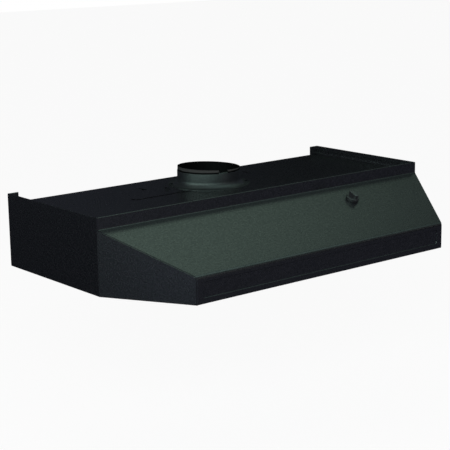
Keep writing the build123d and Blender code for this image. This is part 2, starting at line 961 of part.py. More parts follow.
def filter_mesh():
    """Pad of expanded mesh: a slab with staggered diamond openings."""
    thick = filter_thick - 2 * filter_sheet
    across = 2 * (filter_half - mesh_edge)
    deep = filter_rear - filter_front - 2 * mesh_edge
    half_x = (mesh_pitch_x - mesh_strand) / 2
    half_y = half_x * mesh_pitch_y / mesh_pitch_x
    diamond = Polygon((-half_x, 0), (0, -half_y), (half_x, 0), (0, half_y))
    columns = int((across - 2 * filter_border) / mesh_pitch_x)
    rows = int((deep - 2 * filter_border) / mesh_pitch_y) + 1
    spots = list(GridLocations(mesh_pitch_x, mesh_pitch_y, columns, rows))
    spots += list(GridLocations(mesh_pitch_x, mesh_pitch_y, columns - 1, rows - 1))
    slab = Rectangle(across, deep) - [spot * diamond for spot in spots]
    middle = (filter_front + filter_rear) / 2
    return Pos(0, middle, filter_low + filter_sheet) * extrude(slab, amount=thick)


def filter_pull():
    """Bent finger tab under the front edge of the filter."""
    level = filter_low - pull_sheet / 2
    near = filter_front + pull_sheet + filter_sheet
    points = [(near, level), (near + pull_length, level), (near + pull_length, level - pull_drop)]
    return profile_prism(bent(points, [bend], pull_sheet), -pull_width / 2, pull_width / 2)


def filter_pins():
    """Pivot pins on both ends of the rear edge of the filter."""
    tip = filter_half + pivot_length
    left = rail(-tip, -filter_half, pivot_y, pivot_z, pivot_radius)
    right = rail(filter_half, tip, pivot_y, pivot_z, pivot_radius)
    return group([left, right])


def filter_brackets():
    """Ears on the blower box that carry the pivot pins."""
    half = ear_sheet / 2
    wall_x = box_half + half
    ear_x = filter_half + ear_gap + half
    step_z = box_foot + ear_width
    points = [
        (wall_x, step_z + 1.5 * ear_width),
        (wall_x, step_z),
        (ear_x, step_z),
        (ear_x, pivot_z - pivot_radius - ear_margin),
    ]
    ear = extrude(Plane.XZ * bent(points, [bend, bend], ear_sheet), amount=ear_width / 2, both=True)
    ear = Pos(0, box_rear - blower_corner, 0) * ear
    ear -= rail(box_half, ear_x + past, pivot_y, pivot_z, pivot_radius + pivot_gap)
    return group([ear, mirror(ear, about=Plane.YZ)])


def leaf_clip(x, wall_y, edge_y, foot_z):
    """Leaf spring on a wall that presses on the edge of a hanging frame."""
    line = wall_y - thin_sheet / 2
    toe = edge_y - spring_gap - thin_sheet / 2
    top = foot_z + spring_height
    knee = top - spring_straight
    ankle = foot_z + spring_straight
    points = [(line, top), (line, knee), (toe, ankle), (toe, foot_z)]
    half = spring_width / 2
    return profile_prism(bent(points, [2 * bend, 2 * bend], thin_sheet), x - half, x + half)


def filter_clips():
    """Two leaf springs that keep the front edge of the filter up."""
    foot = filter_low - spring_foot
    return group([leaf_clip(x, box_front, filter_front, foot) for x in (-filter_spring_x, filter_spring_x)])


def lamp_pan():
    """White pan over the lamp, open below, with two hinge ears for the lens."""
    wide = lamp_right - lamp_left
    tall = below - lamp_foot
    place = Pos(lamp_middle, lamp_y, lamp_foot)
    inside = RectangleRounded(wide - 2 * thin_sheet, lamp_depth - 2 * thin_sheet, pan_corner - thin_sheet)
    pan = extrude(RectangleRounded(wide, lamp_depth, pan_corner), amount=tall)
    pan -= Pos(0, 0, -past) * extrude(inside, amount=tall + past - thin_sheet)
    pan = place * pan
    for x in lens_ear_spots():
        pan += lens_ear(x)
    for hole in screw_holes(lamp_screw_spots(), 0):
        pan -= hole
    return pan - rail(lamp_left - past, lamp_left + past, lamp_y, lamp_lead_z, lead_radius)


def lens_ear(x):
    """Round ended ear on the rear wall of the pan, with the hole for a lens pin."""
    half = lens_ear_sheet / 2
    wall = lamp_rear - thin_sheet / 2
    ear = block(x - half, x + half, wall, lens_hinge_y + lens_hinge, lens_hinge_z, lamp_foot + 3 * lens_hinge)
    ear += rail(x - half, x + half, lens_hinge_y, lens_hinge_z, lens_hinge)
    return ear - rail(x - past, x + past, lens_hinge_y, lens_hinge_z, lens_pin + lens_pin_gap)


def lens_ear_spots():
    """Positions of the two hinge ears."""
    return (lamp_left + lens_ear_inset, lamp_right - lens_ear_inset)


def lamp_screw_spots():
    """Two screws in the roof of the lamp pan, in opposite corners."""
    near = lamp_left + socket_length + lamp_screw_inset
    far = lamp_right - lamp_screw_inset
    return [(near, lamp_rear - lamp_screw_inset), (far, lamp_front + lamp_screw_inset)]


def lamp_screws():
    """Screws that hold the lamp pan under the top panel."""
    level = below - thin_sheet
    return group([sheet_screw(spot, level, thin_sheet + sheet, True) for spot in lamp_screw_spots()])


def lamp_socket():
    """Porcelain lamp holder on the end wall of the pan."""
    start = lamp_left + thin_sheet
    end = start + socket_length
    body = rail(start, end, lamp_y, lamp_z, socket_radius)
    return body - rail(start + socket_floor, end + past, lamp_y, lamp_z, cap_radius + socket_gap)


def lamp_cap():
    """Screw cap of the lamp, sitting in the socket."""
    start = lamp_left + thin_sheet + socket_floor
    end = start + cap_length
    cap = rail(start, end, lamp_y, lamp_z, cap_radius)
    return cap - rail(start + cap_floor, end + past, lamp_y, lamp_z, cap_radius - cap_wall)


def lamp_glass():
    """Pear shaped glass shell with its neck in the cap."""
    start = lamp_left + thin_sheet + socket_floor + cap_floor + glass_seat
    neck = cap_radius - cap_wall
    outside = glass_outline(neck, glass_radius, glass_length)
    inside = glass_outline(neck - glass_wall, glass_radius - glass_wall, glass_length - glass_wall)
    ends = Line((0, neck - glass_wall), (0, neck)) + Line((glass_length - glass_wall, 0), (glass_length, 0))
    return Pos(start, lamp_y, lamp_z) * revolve(make_face(outside + inside + ends), Axis.X)


def glass_outline(neck, wide, long):
    """Half outline of the glass: straight neck, then a pear curve to the tip."""
    run = cap_length - cap_floor - glass_seat + glass_wall
    widest = long - wide - glass_wall
    swell = (run + glass_swell * (widest - run), (neck + wide) / 2)
    pear = Spline((run, neck), swell, (widest, wide), (long, 0), tangents=((1, 0.1), (0, -1)))
    return Line((0, neck), (run, neck)) + pear


def light_lens():
    """Dished lens with a rim, a finger tab and two hinge lugs with pins."""
    wide = lamp_right - lamp_left - 2 * lens_inset
    deep = lens_rear - lens_front
    low = lamp_foot - lens_thick
    middle = Pos(lamp_middle, (lens_front + lens_rear) / 2, 0)
    rim = Pos(0, 0, low) * extrude(RectangleRounded(wide, deep, lens_corner), amount=lens_thick)
    edge = 2 * lens_rim
    inner = edge + lens_thick
    dish = Pos(0, 0, low) * RectangleRounded(wide - edge, deep - edge, dish_corner)
    hollow = Pos(0, 0, lamp_foot) * RectangleRounded(wide - inner, deep - inner, dish_corner - lens_thick / 2)
    lens = rim + extrude(dish, amount=lens_dish, dir=(0, 0, -1), taper=lens_draft)
    lens -= extrude(hollow, amount=lens_dish, dir=(0, 0, -1), taper=lens_draft)
    lens = middle * lens
    half = lens_tab / 2
    tab_end = lens_front + lens_thick
    lens += block(lamp_middle - half, lamp_middle + half, lens_front - lens_tab_reach, tab_end, low, lamp_foot)
    for x, way in zip(lens_ear_spots(), (1, -1)):
        face = x + way * (lens_ear_sheet / 2 + lens_lug_gap)
        lug = sorted((face, face + way * lens_lug))
        lens += block(*lug, lens_rear - lens_hinge, lens_hinge_y, low, lamp_foot)
        lens += rail(*lug, lens_hinge_y, lens_hinge_z, lens_barrel)
        pin = sorted((x - way * (lens_ear_sheet / 2 + lens_pin_past), face + way * lens_pin))
        lens += rail(*pin, lens_hinge_y, lens_hinge_z, lens_pin)
    return lens


def lens_clips():
    """Two leaf springs that hold the front edge of the lens."""
    spots = (lamp_middle - lens_spring_x, lamp_middle + lens_spring_x)
    return group([leaf_clip(x, lamp_front, lens_front, lamp_foot - spring_foot) for x in spots])


def knob_place():
    """Frame on the sloping face: X across, Y up the slope, Z out of the face."""
    facing = (0, -math.sin(slant_angle), math.cos(slant_angle))
    return Plane(origin=(knob_x, knob_y, knob_z), x_dir=(1, 0, 0), z_dir=facing).location


def control_knob():
    """Round skirt with a grip bar, hollow below to clear the nut."""
    skirt_top = knob_lift + knob_skirt
    skirt = drum(0, 0, knob_lift, skirt_top, knob_radius)
    skirt = chamfer(skirt.faces().sort_by(Axis.Z)[-1].edges(), knob_edge)
    long = 2 * (knob_radius - knob_edge)
    grip = extrude(SlotOverall(long, knob_grip, rotation=90), amount=knob_height - knob_skirt / 2)
    grip = Pos(0, 0, knob_skirt / 2) * grip
    grip = fillet(grip.faces().sort_by(Axis.Z)[-1].edges(), knob_edge)
    knob = skirt + grip
    knob -= drum(0, 0, -past, neck_height + knob_lift, switch_nut_radius + nut_room)
    knob -= drum(0, 0, 0, knob_bore, shaft_radius)
    mark = knob_lift
    knob -= block(-mark, mark, shaft_radius, knob_radius + past, knob_height - mark, knob_height + past)
    return knob_place() * knob


def switch_shaft():
    """Turning shaft of the switch, fixed in the knob."""
    return knob_place() * drum(0, 0, below - switch_reach, knob_bore, shaft_radius)


def switch_body():
    """Moulded switch behind the sloping face."""
    square = RectangleRounded(switch_width, switch_width, switch_corner)
    body = Pos(0, 0, below - switch_depth) * extrude(square, amount=switch_depth)
    well = drum(0, 0, below - switch_reach - edge_gap, past, shaft_radius + neck_gap)
    return knob_place() * (body - well)


def switch_bushing():
    """Threaded neck of the switch through the hole in the face."""
    neck = drum(0, 0, below, neck_height, neck_radius)
    return knob_place() * (neck - drum(0, 0, -past, 2 * past, shaft_radius + bearing_gap))


def switch_nut():
    """Flat hexagon nut that clamps the switch to the face."""
    nut = extrude(RegularPolygon(switch_nut_radius, 6), amount=switch_nut_height)
    return knob_place() * (nut - Cylinder(neck_radius, 2 * past))


def wiring_cover():
    """Box cover over the cable entry, open to the top panel and the back panel."""
    inner_left = cover_left + sheet
    inner_right = cover_right - sheet
    cover = block(cover_left, cover_right, cover_front, side_back_y, cover_foot, below)
    cover -= block(inner_left, inner_right, cover_front + sheet, back_y, cover_foot + sheet, 0)
    front = cover_front - cover_flange
    cover += block(cover_left, cover_right, front, cover_front + sheet, below - sheet, below)
    notch_z = below - sheet - bend
    cover -= block(cover_left - past, cover_right + past, back_flange_y - edge_gap, back_y, notch_z, 0)
    for hole in screw_holes(cover_screw_spots(), 0):
        cover -= hole
    hole_radius = lead_radius + lead_gap
    front_hole = Pos(supply_x(), cover_front, -lead_drop) * Rot(90, 0, 0) * Cylinder(hole_radius, past)
    end_hole = rail(cover_right - past, cover_right + past, terminal_y, -motor_lead_drop, hole_radius)
    return cover - front_hole - end_hole


def cover_screw_spots():
    """Two screws in the front flange of the wiring cover."""
    y = cover_front - cover_flange / 2
    return [(cover_left + cover_screw_inset, y), (cover_right - cover_screw_inset, y)]


def cover_screws():
    """Screws that hold the wiring cover under the top panel."""
    return group([sheet_screw(spot, below - sheet, 2 * sheet, True) for spot in cover_screw_spots()])


def terminal_block():
    """Moulded block under the top panel with three wire wells."""
    half = terminal_depth / 2
    foot = below - terminal_depth
    middle = (terminal_left + terminal_right) / 2
    body = block(terminal_left, terminal_right, terminal_y - half, terminal_y + half, foot, below)
    for step in (-1, 0, 1):
        x = middle + terminal_pitch * step
        body -= drum(x, terminal_y, foot - past, foot + terminal_well_depth, terminal_well)
    return body


def earth_screw():
    """Hexagon headed earth screw on the back panel inside the cover."""
    head = extrude(RegularPolygon(earth_radius, 6), amount=earth_height)
    return Pos(cover_left + earth_inset, side_back_y, -entry_drop) * Rot(90, 0, 0) * head


def supply_x():
    """Place across the hood at which the switch lead meets the terminal block."""
    return (terminal_left + terminal_right) / 2 + terminal_pitch / 3


def cable(points, radius, turn):
    """Round lead along straight runs joined by tangent arcs."""
    corners = [Vector(*p) for p in points]
    edges = []
    last = corners[0]
    for before, corner, after in zip(corners, corners[1:], corners[2:]):
        arrive = (corner - before).normalized()
        leave = (after - corner).normalized()
        start = corner - arrive * turn
        end = corner + leave * turn
        edges.append(Edge.make_line(last, start))
        edges.append(Edge.make_tangent_arc(start, arrive, end))
        last = end
    edges.append(Edge.make_line(last, corners[-1]))
    path = Wire(edges)
    stand = Plane(origin=corners[0], z_dir=corners[1] - corners[0])
    return sweep(stand * Circle(radius), path=path)


def inner_leads():
    """Leads from the terminal block to the switch and the motor, and from the switch to the lamp."""
    half = switch_width / 2
    rise = Vector(0, math.cos(slant_angle), math.sin(slant_angle))
    facing = Vector(0, -math.sin(slant_angle), math.cos(slant_angle))
    switch = Vector(knob_x, knob_y, knob_z) + facing * switch_lead
    start = switch + rise * half
    corner = start + rise * ((-lead_drop - start.Z) / rise.Z)
    supply = [
        tuple(start),
        tuple(corner),
        (supply_x(), corner.Y, -lead_drop),
        (supply_x(), terminal_y - terminal_depth / 2, -lead_drop),
    ]
    motor = [
        (terminal_right, terminal_y, -motor_lead_drop),
        (motor_lead_x, terminal_y, -motor_lead_drop),
        (motor_lead_x, terminal_y, motor_lead_z),
        (motor_lead_x, motor_lead_y, motor_lead_z),
        (-coil_width / 2, motor_lead_y, motor_lead_z),
    ]
    lamp = [
        (knob_x - half, switch.Y, switch.Z),
        (lamp_lead_x, switch.Y, switch.Z),
        (lamp_lead_x, lamp_y, switch.Z),
        (lamp_left + thin_sheet, lamp_y, switch.Z),
    ]
    return group([cable(points, lead_radius, lead_turn) for points in (supply, motor, lamp)])


def main():
    """Build every node and write it as its own file."""
    os.makedirs("parts", exist_ok=True)
    right = side_panel()
    front_knuckles, rear_knuckles = flap_knuckles()
    nodes = {
        "front_panel": front_panel(),
        "right_side_panel": right,
        "left_side_panel": mirror(right, about=Plane.YZ),
        "top_panel": top_panel(),
        "back_panel": back_panel(),
        "duct_collar": duct_collar(),
        "collar_screws": collar_screws(),
        "damper_ring": damper_ring(),
        "damper_rod": damper_rod(),
        "front_damper_flap": damper_flap(-1, front_knuckles),
        "rear_damper_flap": damper_flap(1, rear_knuckles),
        "blower_box": blower_box(),
        "blower_screws": blower_screws(),
        "fan_plate": fan_plate(),
        "motor_strap": motor_strap(),
        "strap_screws": strap_screws(),
        "motor_laminations": motor_laminations(),
        "motor_coil": motor_coil(),
        "upper_bearing_bridge": bearing_bridge(core_top, strap_z - strap_sheet),
        "lower_bearing_bridge": bearing_bridge(motor_foot, core_foot),
        "shaft_bushings": shaft_bushings(),
        "motor_screws": motor_screws(),
        "motor_nuts": motor_nuts(),
        "rotor_core": rotor_core(),
        "motor_shaft": motor_shaft(),
        "fan_wheel": fan_wheel(),
        "fan_nut": fan_nut(),
        "filter_frame": filter_frame(),
        "filter_mesh": filter_mesh(),
        "filter_pull": filter_pull(),
        "filter_pins": filter_pins(),
        "filter_brackets": filter_brackets(),
        "filter_clips": filter_clips(),
        "lamp_pan": lamp_pan(),
        "lamp_screws": lamp_screws(),
        "lamp_socket": lamp_socket(),
        "lamp_cap": lamp_cap(),
        "lamp_glass": lamp_glass(),
        "light_lens": light_lens(),
        "lens_clips": lens_clips(),
        "control_knob": control_knob(),
        "switch_shaft": switch_shaft(),
        "switch_body": switch_body(),
        "switch_bushing": switch_bushing(),
        "switch_nut": switch_nut(),
        "wiring_cover": wiring_cover(),
        "cover_screws": cover_screws(),
        "terminal_block": terminal_block(),
        "earth_screw": earth_screw(),
        "inner_leads": inner_leads(),
    }
    for name, shape in nodes.items():
        export_step(shape, f"parts/{name}.step")


if __name__ == "__main__":
    main()
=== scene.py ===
import math

import bmesh
import bpy
import numpy as np
from bpy.props import FloatProperty, FloatVectorProperty, IntProperty, PointerProperty
from mathutils import Matrix, Vector


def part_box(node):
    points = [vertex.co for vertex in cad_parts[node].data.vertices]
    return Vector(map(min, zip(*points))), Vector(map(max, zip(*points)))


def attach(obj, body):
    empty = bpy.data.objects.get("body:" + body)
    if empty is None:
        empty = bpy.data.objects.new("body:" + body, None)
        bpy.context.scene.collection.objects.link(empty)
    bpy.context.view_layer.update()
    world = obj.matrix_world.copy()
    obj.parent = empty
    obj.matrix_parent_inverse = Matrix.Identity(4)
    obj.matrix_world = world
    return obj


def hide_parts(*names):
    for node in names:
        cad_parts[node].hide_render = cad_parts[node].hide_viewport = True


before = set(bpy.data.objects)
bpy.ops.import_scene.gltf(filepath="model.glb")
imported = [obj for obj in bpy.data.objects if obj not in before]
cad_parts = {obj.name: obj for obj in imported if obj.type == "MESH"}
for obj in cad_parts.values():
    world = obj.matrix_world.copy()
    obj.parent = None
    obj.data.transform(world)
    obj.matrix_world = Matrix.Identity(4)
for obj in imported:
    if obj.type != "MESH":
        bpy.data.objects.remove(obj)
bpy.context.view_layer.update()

bl_info = {
    "name": "Range Hood Finishes",
    "version": (1, 0, 0),
    "blender": (4, 5, 0),
    "location": "3D View > Sidebar > Range Hood",
    "description": "Dresses an under cabinet range hood in its finishes and sets up its studio",
    "category": "Object",
}


def low_corner(node):
    """Lowest corner of a node as an array in metres."""
    return np.array(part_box(node)[0])


def high_corner(node):
    """Highest corner of a node as an array in metres."""
    return np.array(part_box(node)[1])


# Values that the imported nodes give
collar_middle = (low_corner("duct_collar") + high_corner("duct_collar")) / 2
collar_foot_radius = (high_corner("duct_collar") - low_corner("duct_collar"))[0] / 2
collar_top = high_corner("duct_collar")[2]


# Settings


def length(name, words, metres):
    """Property for a length in metres."""
    return FloatProperty(name=name, description=words, default=metres, unit="LENGTH", precision=4)


def point(name, words, metres):
    """Property for a place in metres."""
    return FloatVectorProperty(name=name, description=words, default=metres, size=3, unit="LENGTH")


def angle(name, words, degrees):
    """Property for an angle, given in degrees."""
    return FloatProperty(name=name, description=words, default=math.radians(degrees), subtype="ANGLE")


def colour(name, words, value):
    """Property for a colour without alpha."""
    return FloatVectorProperty(
        name=name, description=words, default=value, size=3, subtype="COLOR", min=0, max=1
    )


def share(name, words, value):
    """Property for a number from nought to one."""
    return FloatProperty(name=name, description=words, default=value, min=0, max=1, subtype="FACTOR")


def amount(name, words, value):
    """Property for a number that is not below nought."""
    return FloatProperty(name=name, description=words, default=value, min=0)


def power(name, words, watts):
    """Property for the power of a lamp."""
    return FloatProperty(name=name, description=words, default=watts, min=0, unit="POWER")


def count(name, words, value):
    """Property for a whole number of steps."""
    return IntProperty(name=name, description=words, default=value, min=3)


class HoodSizes(bpy.types.PropertyGroup):
    """Sizes of the pieces that are made here."""

    collar_radius: length("Collar radius", "Outer radius of the duct spigot", 0.0605)
    collar_sheet: length("Collar sheet", "Sheet thickness of the spigot and its ring", 0.0008)
    collar_flare: length("Collar flare", "Radius of the flare at the foot of the spigot", 0.0115)
    collar_steps: count("Collar steps", "Steps around the spigot", 160)
    flare_steps: count("Flare steps", "Points along the flare", 14)
    rim_steps: count("Rim steps", "Points round the rim", 8)
    # The damper ring gets painted shade inside and a painted shadow line just above the collar; these sizes
    # set where it lies.
    painted_shade_top: length("Soot top", "Height above the spigot up to which its ring is all soot", 0.0026)
    bare_foot: length("Bare foot", "Height above the spigot from which its ring is bare outside", 0.0034)
    painted_shade_fade: length("Soot fade", "Half the depth in the ring's sheet over which soot ends", 0.0001)
    strand_pitch: length("Strand pitch", "Distance between strands of the grease mesh", 0.0066)
    strand_width: length("Strand width", "Width of a strand of the grease mesh", 0.0011)
    strand_thick: length("Strand thickness", "Thickness of a layer of the grease mesh", 0.0010)
    strand_short: share("Strand short", "Share of half a strand that its swing stays short", 0.6)
    strand_slope: amount("Strand slope", "Steepness of the zigzag before its tops are cut flat", 1.35)
    diamond_length: length("Diamond length", "Length of one diamond of the grease mesh", 0.0120)
    diamond_steps: count("Diamond steps", "Steps along one diamond", 8)
    mesh_edge: length("Mesh edge", "How far the grease mesh stays inside its frame", 0.0010)
    mesh_gap: length("Mesh gap", "How far the grease mesh stays inside its upper and lower face", 0.0002)
    bulb_radius: length("Bulb radius", "Largest radius of the lamp glass", 0.0290)
    bulb_steps: count("Bulb steps", "Steps around the lamp glass", 64)
    neck_radius: length("Neck radius", "Radius of the neck of the lamp glass", 0.0122)
    neck_length: length("Neck length", "Straight part of the neck of the lamp glass", 0.0150)
    outline_steps: count("Outline steps", "Points along each curve of the lamp glass", 20)
    glass_wall: length("Glass wall", "Wall of the lamp glass", 0.0010)


class HoodColours(bpy.types.PropertyGroup):
    """Colours of the finishes."""

    paint: colour("Paint", "Black paint of the shell", (0.0065, 0.0065, 0.0090))
    paint_light: colour("Paint grain", "Lighter grain in the black paint", (0.0140, 0.0142, 0.0178))
    zinc: colour("Zinc", "Galvanised sheet", (0.42, 0.43, 0.44))
    aluminium: colour("Aluminium", "Bare aluminium", (0.54, 0.55, 0.56))
    dull_steel: colour("Dull steel", "Bare steel of the damper ring", (0.06, 0.06, 0.06))
    # Colour of the painted shade inside the damper ring and of the painted shadow line at its joint with the
    # collar.
    ring_shade: colour("Soot", "Grease and soot inside the damper ring", (0.0015, 0.0015, 0.0018))
    spring: colour("Spring", "Blued spring steel", (0.30, 0.31, 0.34))
    plated: colour("Plated", "Zinc plated screws and nuts", (0.52, 0.52, 0.49))
    core: colour("Core", "Edges of the motor laminations", (0.16, 0.16, 0.17))
    winding: colour("Winding", "Varnished copper winding", (0.43, 0.17, 0.06))
    casting: colour("Casting", "Zinc castings of the motor", (0.40, 0.40, 0.40))
    bronze: colour("Bronze", "Sintered bronze bushings", (0.42, 0.25, 0.11))
    nickel: colour("Nickel", "Nickel plated neck of the switch", (0.60, 0.58, 0.52))
    enamel: colour("Enamel", "White enamel of the lamp pan", (0.74, 0.74, 0.71))
    porcelain: colour("Porcelain", "Lamp holder", (0.70, 0.68, 0.62))
    lens: colour("Lens", "Moulded lens and lamp glass", (0.80, 0.82, 0.80))
    plastic: colour("Plastic", "Black moulded plastic", (0.020, 0.021, 0.024))
    terminal: colour("Terminal", "Terminal block", (0.55, 0.53, 0.47))
    earth: colour("Earth", "Green earth screw", (0.02, 0.17, 0.05))
    lead: colour("Lead", "Insulation of the inner leads", (0.020, 0.020, 0.022))


class HoodStudio(bpy.types.PropertyGroup):
    """Light, floor and camera."""

    floor_level: length("Floor level", "Height of the floor below the hood", -0.45)
    floor_spread: length("Floor spread", "Width and depth of the floor", 24)
    floor_glow: share("Floor glow", "White that the camera sees on the floor without light", 0.90)
    floor_tone: share("Floor tone", "Share of the light that the floor returns", 0.16)
    ambient: share("Ambient", "Light from all around", 0.30)
    front_energy: power("Front light", "Power of the front light", 45)
    front_place: point("Front light place", "Where the front light stands", (-2.0, -2.4, 1.2))
    front_tone: colour("Front tone", "Tone of the front light", (0.95, 1.0, 1.0))
    under_energy: power("Under light", "Power of the light below the hood", 1.7)
    under_place: point("Under light place", "Where the light below the hood stands", (0, -0.03, -0.42))
    card_tone: colour("Card tone", "Tone of the black cards", (0.020, 0.021, 0.030))
    pale_tone: colour("Pale tone", "Tone of the pale card on the floor", (0.62, 0.72, 1.0))
    right_glow: amount("Right glow", "How many times the card tone the right card has", 3)
    card_lift: length("Card lift", "Height of the floor cards above the floor", 0.02)
    ceiling_height: length("Ceiling height", "Height of the dim card overhead", 1.55)
    wall_radius: length("Wall radius", "Distance of the glowing wall in front", 3.2)
    wall_foot: length("Wall foot", "Lower edge of that wall", 0.50)
    wall_top: length("Wall top", "Upper edge of that wall", 1.50)
    wall_from: angle("Wall from", "Where that wall starts on the left", 150)
    wall_to: angle("Wall to", "Where that wall ends on the right", 280)
    wall_steps: count("Wall steps", "Points along that wall", 48)
    wall_glow: amount("Wall glow", "Glow of that wall at its bright end", 5.6)
    wall_bright: length("Wall bright", "Where along X that wall starts to fade", -2.56)
    wall_dark: length("Wall dark", "Where along X its glow ends", 1.28)
    wall_tone: colour("Wall tone", "Tone of that wall", (0.66, 1.0, 0.88))
    sheen_tone: colour("Sheen tone", "Tone of the card that the sloping face mirrors", (0.68, 1.0, 0.80))
    sheen_height: length("Sheen height", "Height of that card", 1.5)
    sheen_left: amount("Sheen left", "Glow of that card at its left end", 1.29)
    sheen_right: amount("Sheen right", "Glow of that card at its right end", 0.20)
    sheen_bright: length("Sheen bright", "Where along X that card starts to fade", 0.8)
    sheen_dark: length("Sheen dark", "Where along X its fade ends", 2.3)
    front_sheen: amount("Front sheen", "How many times as strong the card in front of it glows", 1.1)
    film_width: FloatProperty(name="Film width", description="Width of the film in mm", default=36)
    lens: FloatProperty(name="Lens", description="Focal length", default=106.09, unit="CAMERA")
    camera_place: point("Camera place", "Where the camera stands", (-1.5525, -1.9085, 0.4754))
    azimuth: angle("Azimuth", "Turn of the view from straight ahead to the right", 39.137)
    elevation: angle("Elevation", "How far the camera looks down", 12.602)
    roll: angle("Roll", "Turn of the picture", -0.898)


def sizes():
    """Sizes set in the scene."""
    return bpy.context.scene.hood_sizes


def colours():
    """Colours set in the scene."""
    return bpy.context.scene.hood_colours


# Meshes from arrays


def grid_quads(rows, columns, wrap_rows, wrap_columns):
    """Corner numbers of the quads between neighbouring points of a grid; a wrapped side joins its ends."""
    i = np.arange(rows if wrap_rows else rows - 1)
    j = np.arange(columns if wrap_columns else columns - 1)
    a, b = np.meshgrid(i, j, indexing="ij")
    next_a = (a + 1) % rows
    next_b = (b + 1) % columns
    corners = [a * columns + b, next_a * columns + b, next_a * columns + next_b, a * columns + next_b]
    return np.stack(corners, -1).reshape(-1, 4)


def solid_object(name, points, faces, body, crease=40.0):
    """Object with a closed mesh from points and faces; doubles are merged and faces point outwards."""
    mesh = bpy.data.meshes.new(name)
    mesh.from_pydata(points.reshape(-1, 3).tolist(), [], faces)
    shape = bmesh.new()
    shape.from_mesh(mesh)
    bmesh.ops.remove_doubles(shape, verts=shape.verts, dist=1e-6)
    bmesh.ops.recalc_face_normals(shape, faces=shape.faces)
    shape.to_mesh(mesh)
    shape.free()
    mesh.polygons.foreach_set("use_smooth", np.ones(len(mesh.polygons), bool))
    mesh.set_sharp_from_angle(angle=math.radians(crease))
    piece = bpy.data.objects.new(name, mesh)
    bpy.context.scene.collection.objects.link(piece)
    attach(piece, body)
    return piece


def arc(centre, radius, start, end, steps):
    """Points on a circle from one angle to another, in degrees."""
    turn = np.radians(np.linspace(start, end, steps))
    return np.stack([centre[0] + radius * np.cos(turn), centre[1] + radius * np.sin(turn)], -1)


def turned(profile, turns, middle):
    """Profile of radius and height carried round an upright axis: x = r cos a, y = r sin a, z = h."""
    radius = profile[None, :, 0]
    x = middle[0] + radius * np.cos(turns)[:, None]
    y = middle[1] + radius * np.sin(turns)[:, None]
    z = np.broadcast_to(profile[None, :, 1], x.shape)
    return np.stack([x, y, z], -1)


# Finishes


class Finish:
    """Material under construction, with short calls for its nodes."""

    def __init__(self, name, base, rough, metal=0.0, specular=0.5):
        self.material = bpy.data.materials.new(name)
        self.material.use_nodes = True
        self.tree = self.material.node_tree
        self.shader = self.tree.nodes["Principled BSDF"]
        self.shader.inputs["Base Color"].default_value = (*base, 1)
        self.shader.inputs["Roughness"].default_value = rough
        self.shader.inputs["Metallic"].default_value = metal
        self.shader.inputs["Specular IOR Level"].default_value = specular
        self.place = self.tree.nodes.new("ShaderNodeTexCoord").outputs["Object"]

    def link(self, start, end):
        """Join two sockets."""
        self.tree.links.new(start, end)

    def stretched(self, scale):
        """Object coordinates scaled along each axis."""
        node = self.tree.nodes.new("ShaderNodeMapping")
        node.inputs["Scale"].default_value = scale
        self.link(self.place, node.inputs["Vector"])
        return node.outputs["Vector"]

    def noise(self, scale, detail=3.0, rough=0.55, place=None):
        """Cloudy noise with so many grains to the metre."""
        node = self.tree.nodes.new("ShaderNodeTexNoise")
        node.inputs["Scale"].default_value = scale
        node.inputs["Detail"].default_value = detail
        node.inputs["Roughness"].default_value = rough
        self.link(place or self.place, node.inputs["Vector"])
        return node.outputs["Fac"]

    def cells(self, scale):
        """Crystal cells with so many to the metre, each with its own colour."""
        node = self.tree.nodes.new("ShaderNodeTexVoronoi")
        node.inputs["Scale"].default_value = scale
        self.link(self.place, node.inputs["Vector"])
        return node.outputs["Color"]

    def stripes(self, scale, axis, bend=0.0):
        """Even stripes across one axis, from nought to one."""
        node = self.tree.nodes.new("ShaderNodeTexWave")
        node.wave_type = "BANDS"
        node.bands_direction = axis
        node.inputs["Scale"].default_value = scale
        node.inputs["Distortion"].default_value = bend
        self.link(self.place, node.inputs["Vector"])
        return node.outputs["Fac"]

    def remap(self, value, low, high, start=0.3, end=0.7):
        """Stretch a value between two ends to a new range."""
        node = self.tree.nodes.new("ShaderNodeMapRange")
        node.inputs["From Min"].default_value = start
        node.inputs["From Max"].default_value = end
        node.inputs["To Min"].default_value = low
        node.inputs["To Max"].default_value = high
        self.link(value, node.inputs["Value"])
        return node.outputs["Result"]

    def tint(self, value, low, high, start=0.3, end=0.7):
        """Colour between the colours for low and high values."""
        node = self.tree.nodes.new("ShaderNodeValToRGB")
        node.color_ramp.elements[0].position = start
        node.color_ramp.elements[0].color = (*low, 1)
        node.color_ramp.elements[1].position = end
        node.color_ramp.elements[1].color = (*high, 1)
        self.link(value, node.inputs["Fac"])
        self.link(node.outputs["Color"], self.shader.inputs["Base Color"])

    def vary(self, value, base, dark, light, start=0.3, end=0.7):
        """Colour from a darker to a lighter shade of a colour."""
        self.tint(value, shade(base, dark), shade(base, light), start, end)

    def roughen(self, value, low, high, start=0.3, end=0.7):
        """Roughness between two ends by a value."""
        self.link(self.remap(value, low, high, start, end), self.shader.inputs["Roughness"])

    def raise_by(self, value, height, strength=1.0):
        """Bump by a value, with its full height in metres."""
        node = self.tree.nodes.new("ShaderNodeBump")
        node.inputs["Strength"].default_value = strength
        node.inputs["Distance"].default_value = height
        self.link(value, node.inputs["Height"])
        self.link(node.outputs["Normal"], self.shader.inputs["Normal"])

    def give(self, *nodes):
        """Put the material on CAD nodes."""
        for node in nodes:
            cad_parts[node].material_slots[0].material = self.material

    def wear(self, piece):
        """Put the material on a new piece."""
        piece.data.materials.append(self.material)


def shade(value, factor):
    """A colour made darker or lighter."""
    return tuple(min(1.0, part * factor) for part in value)


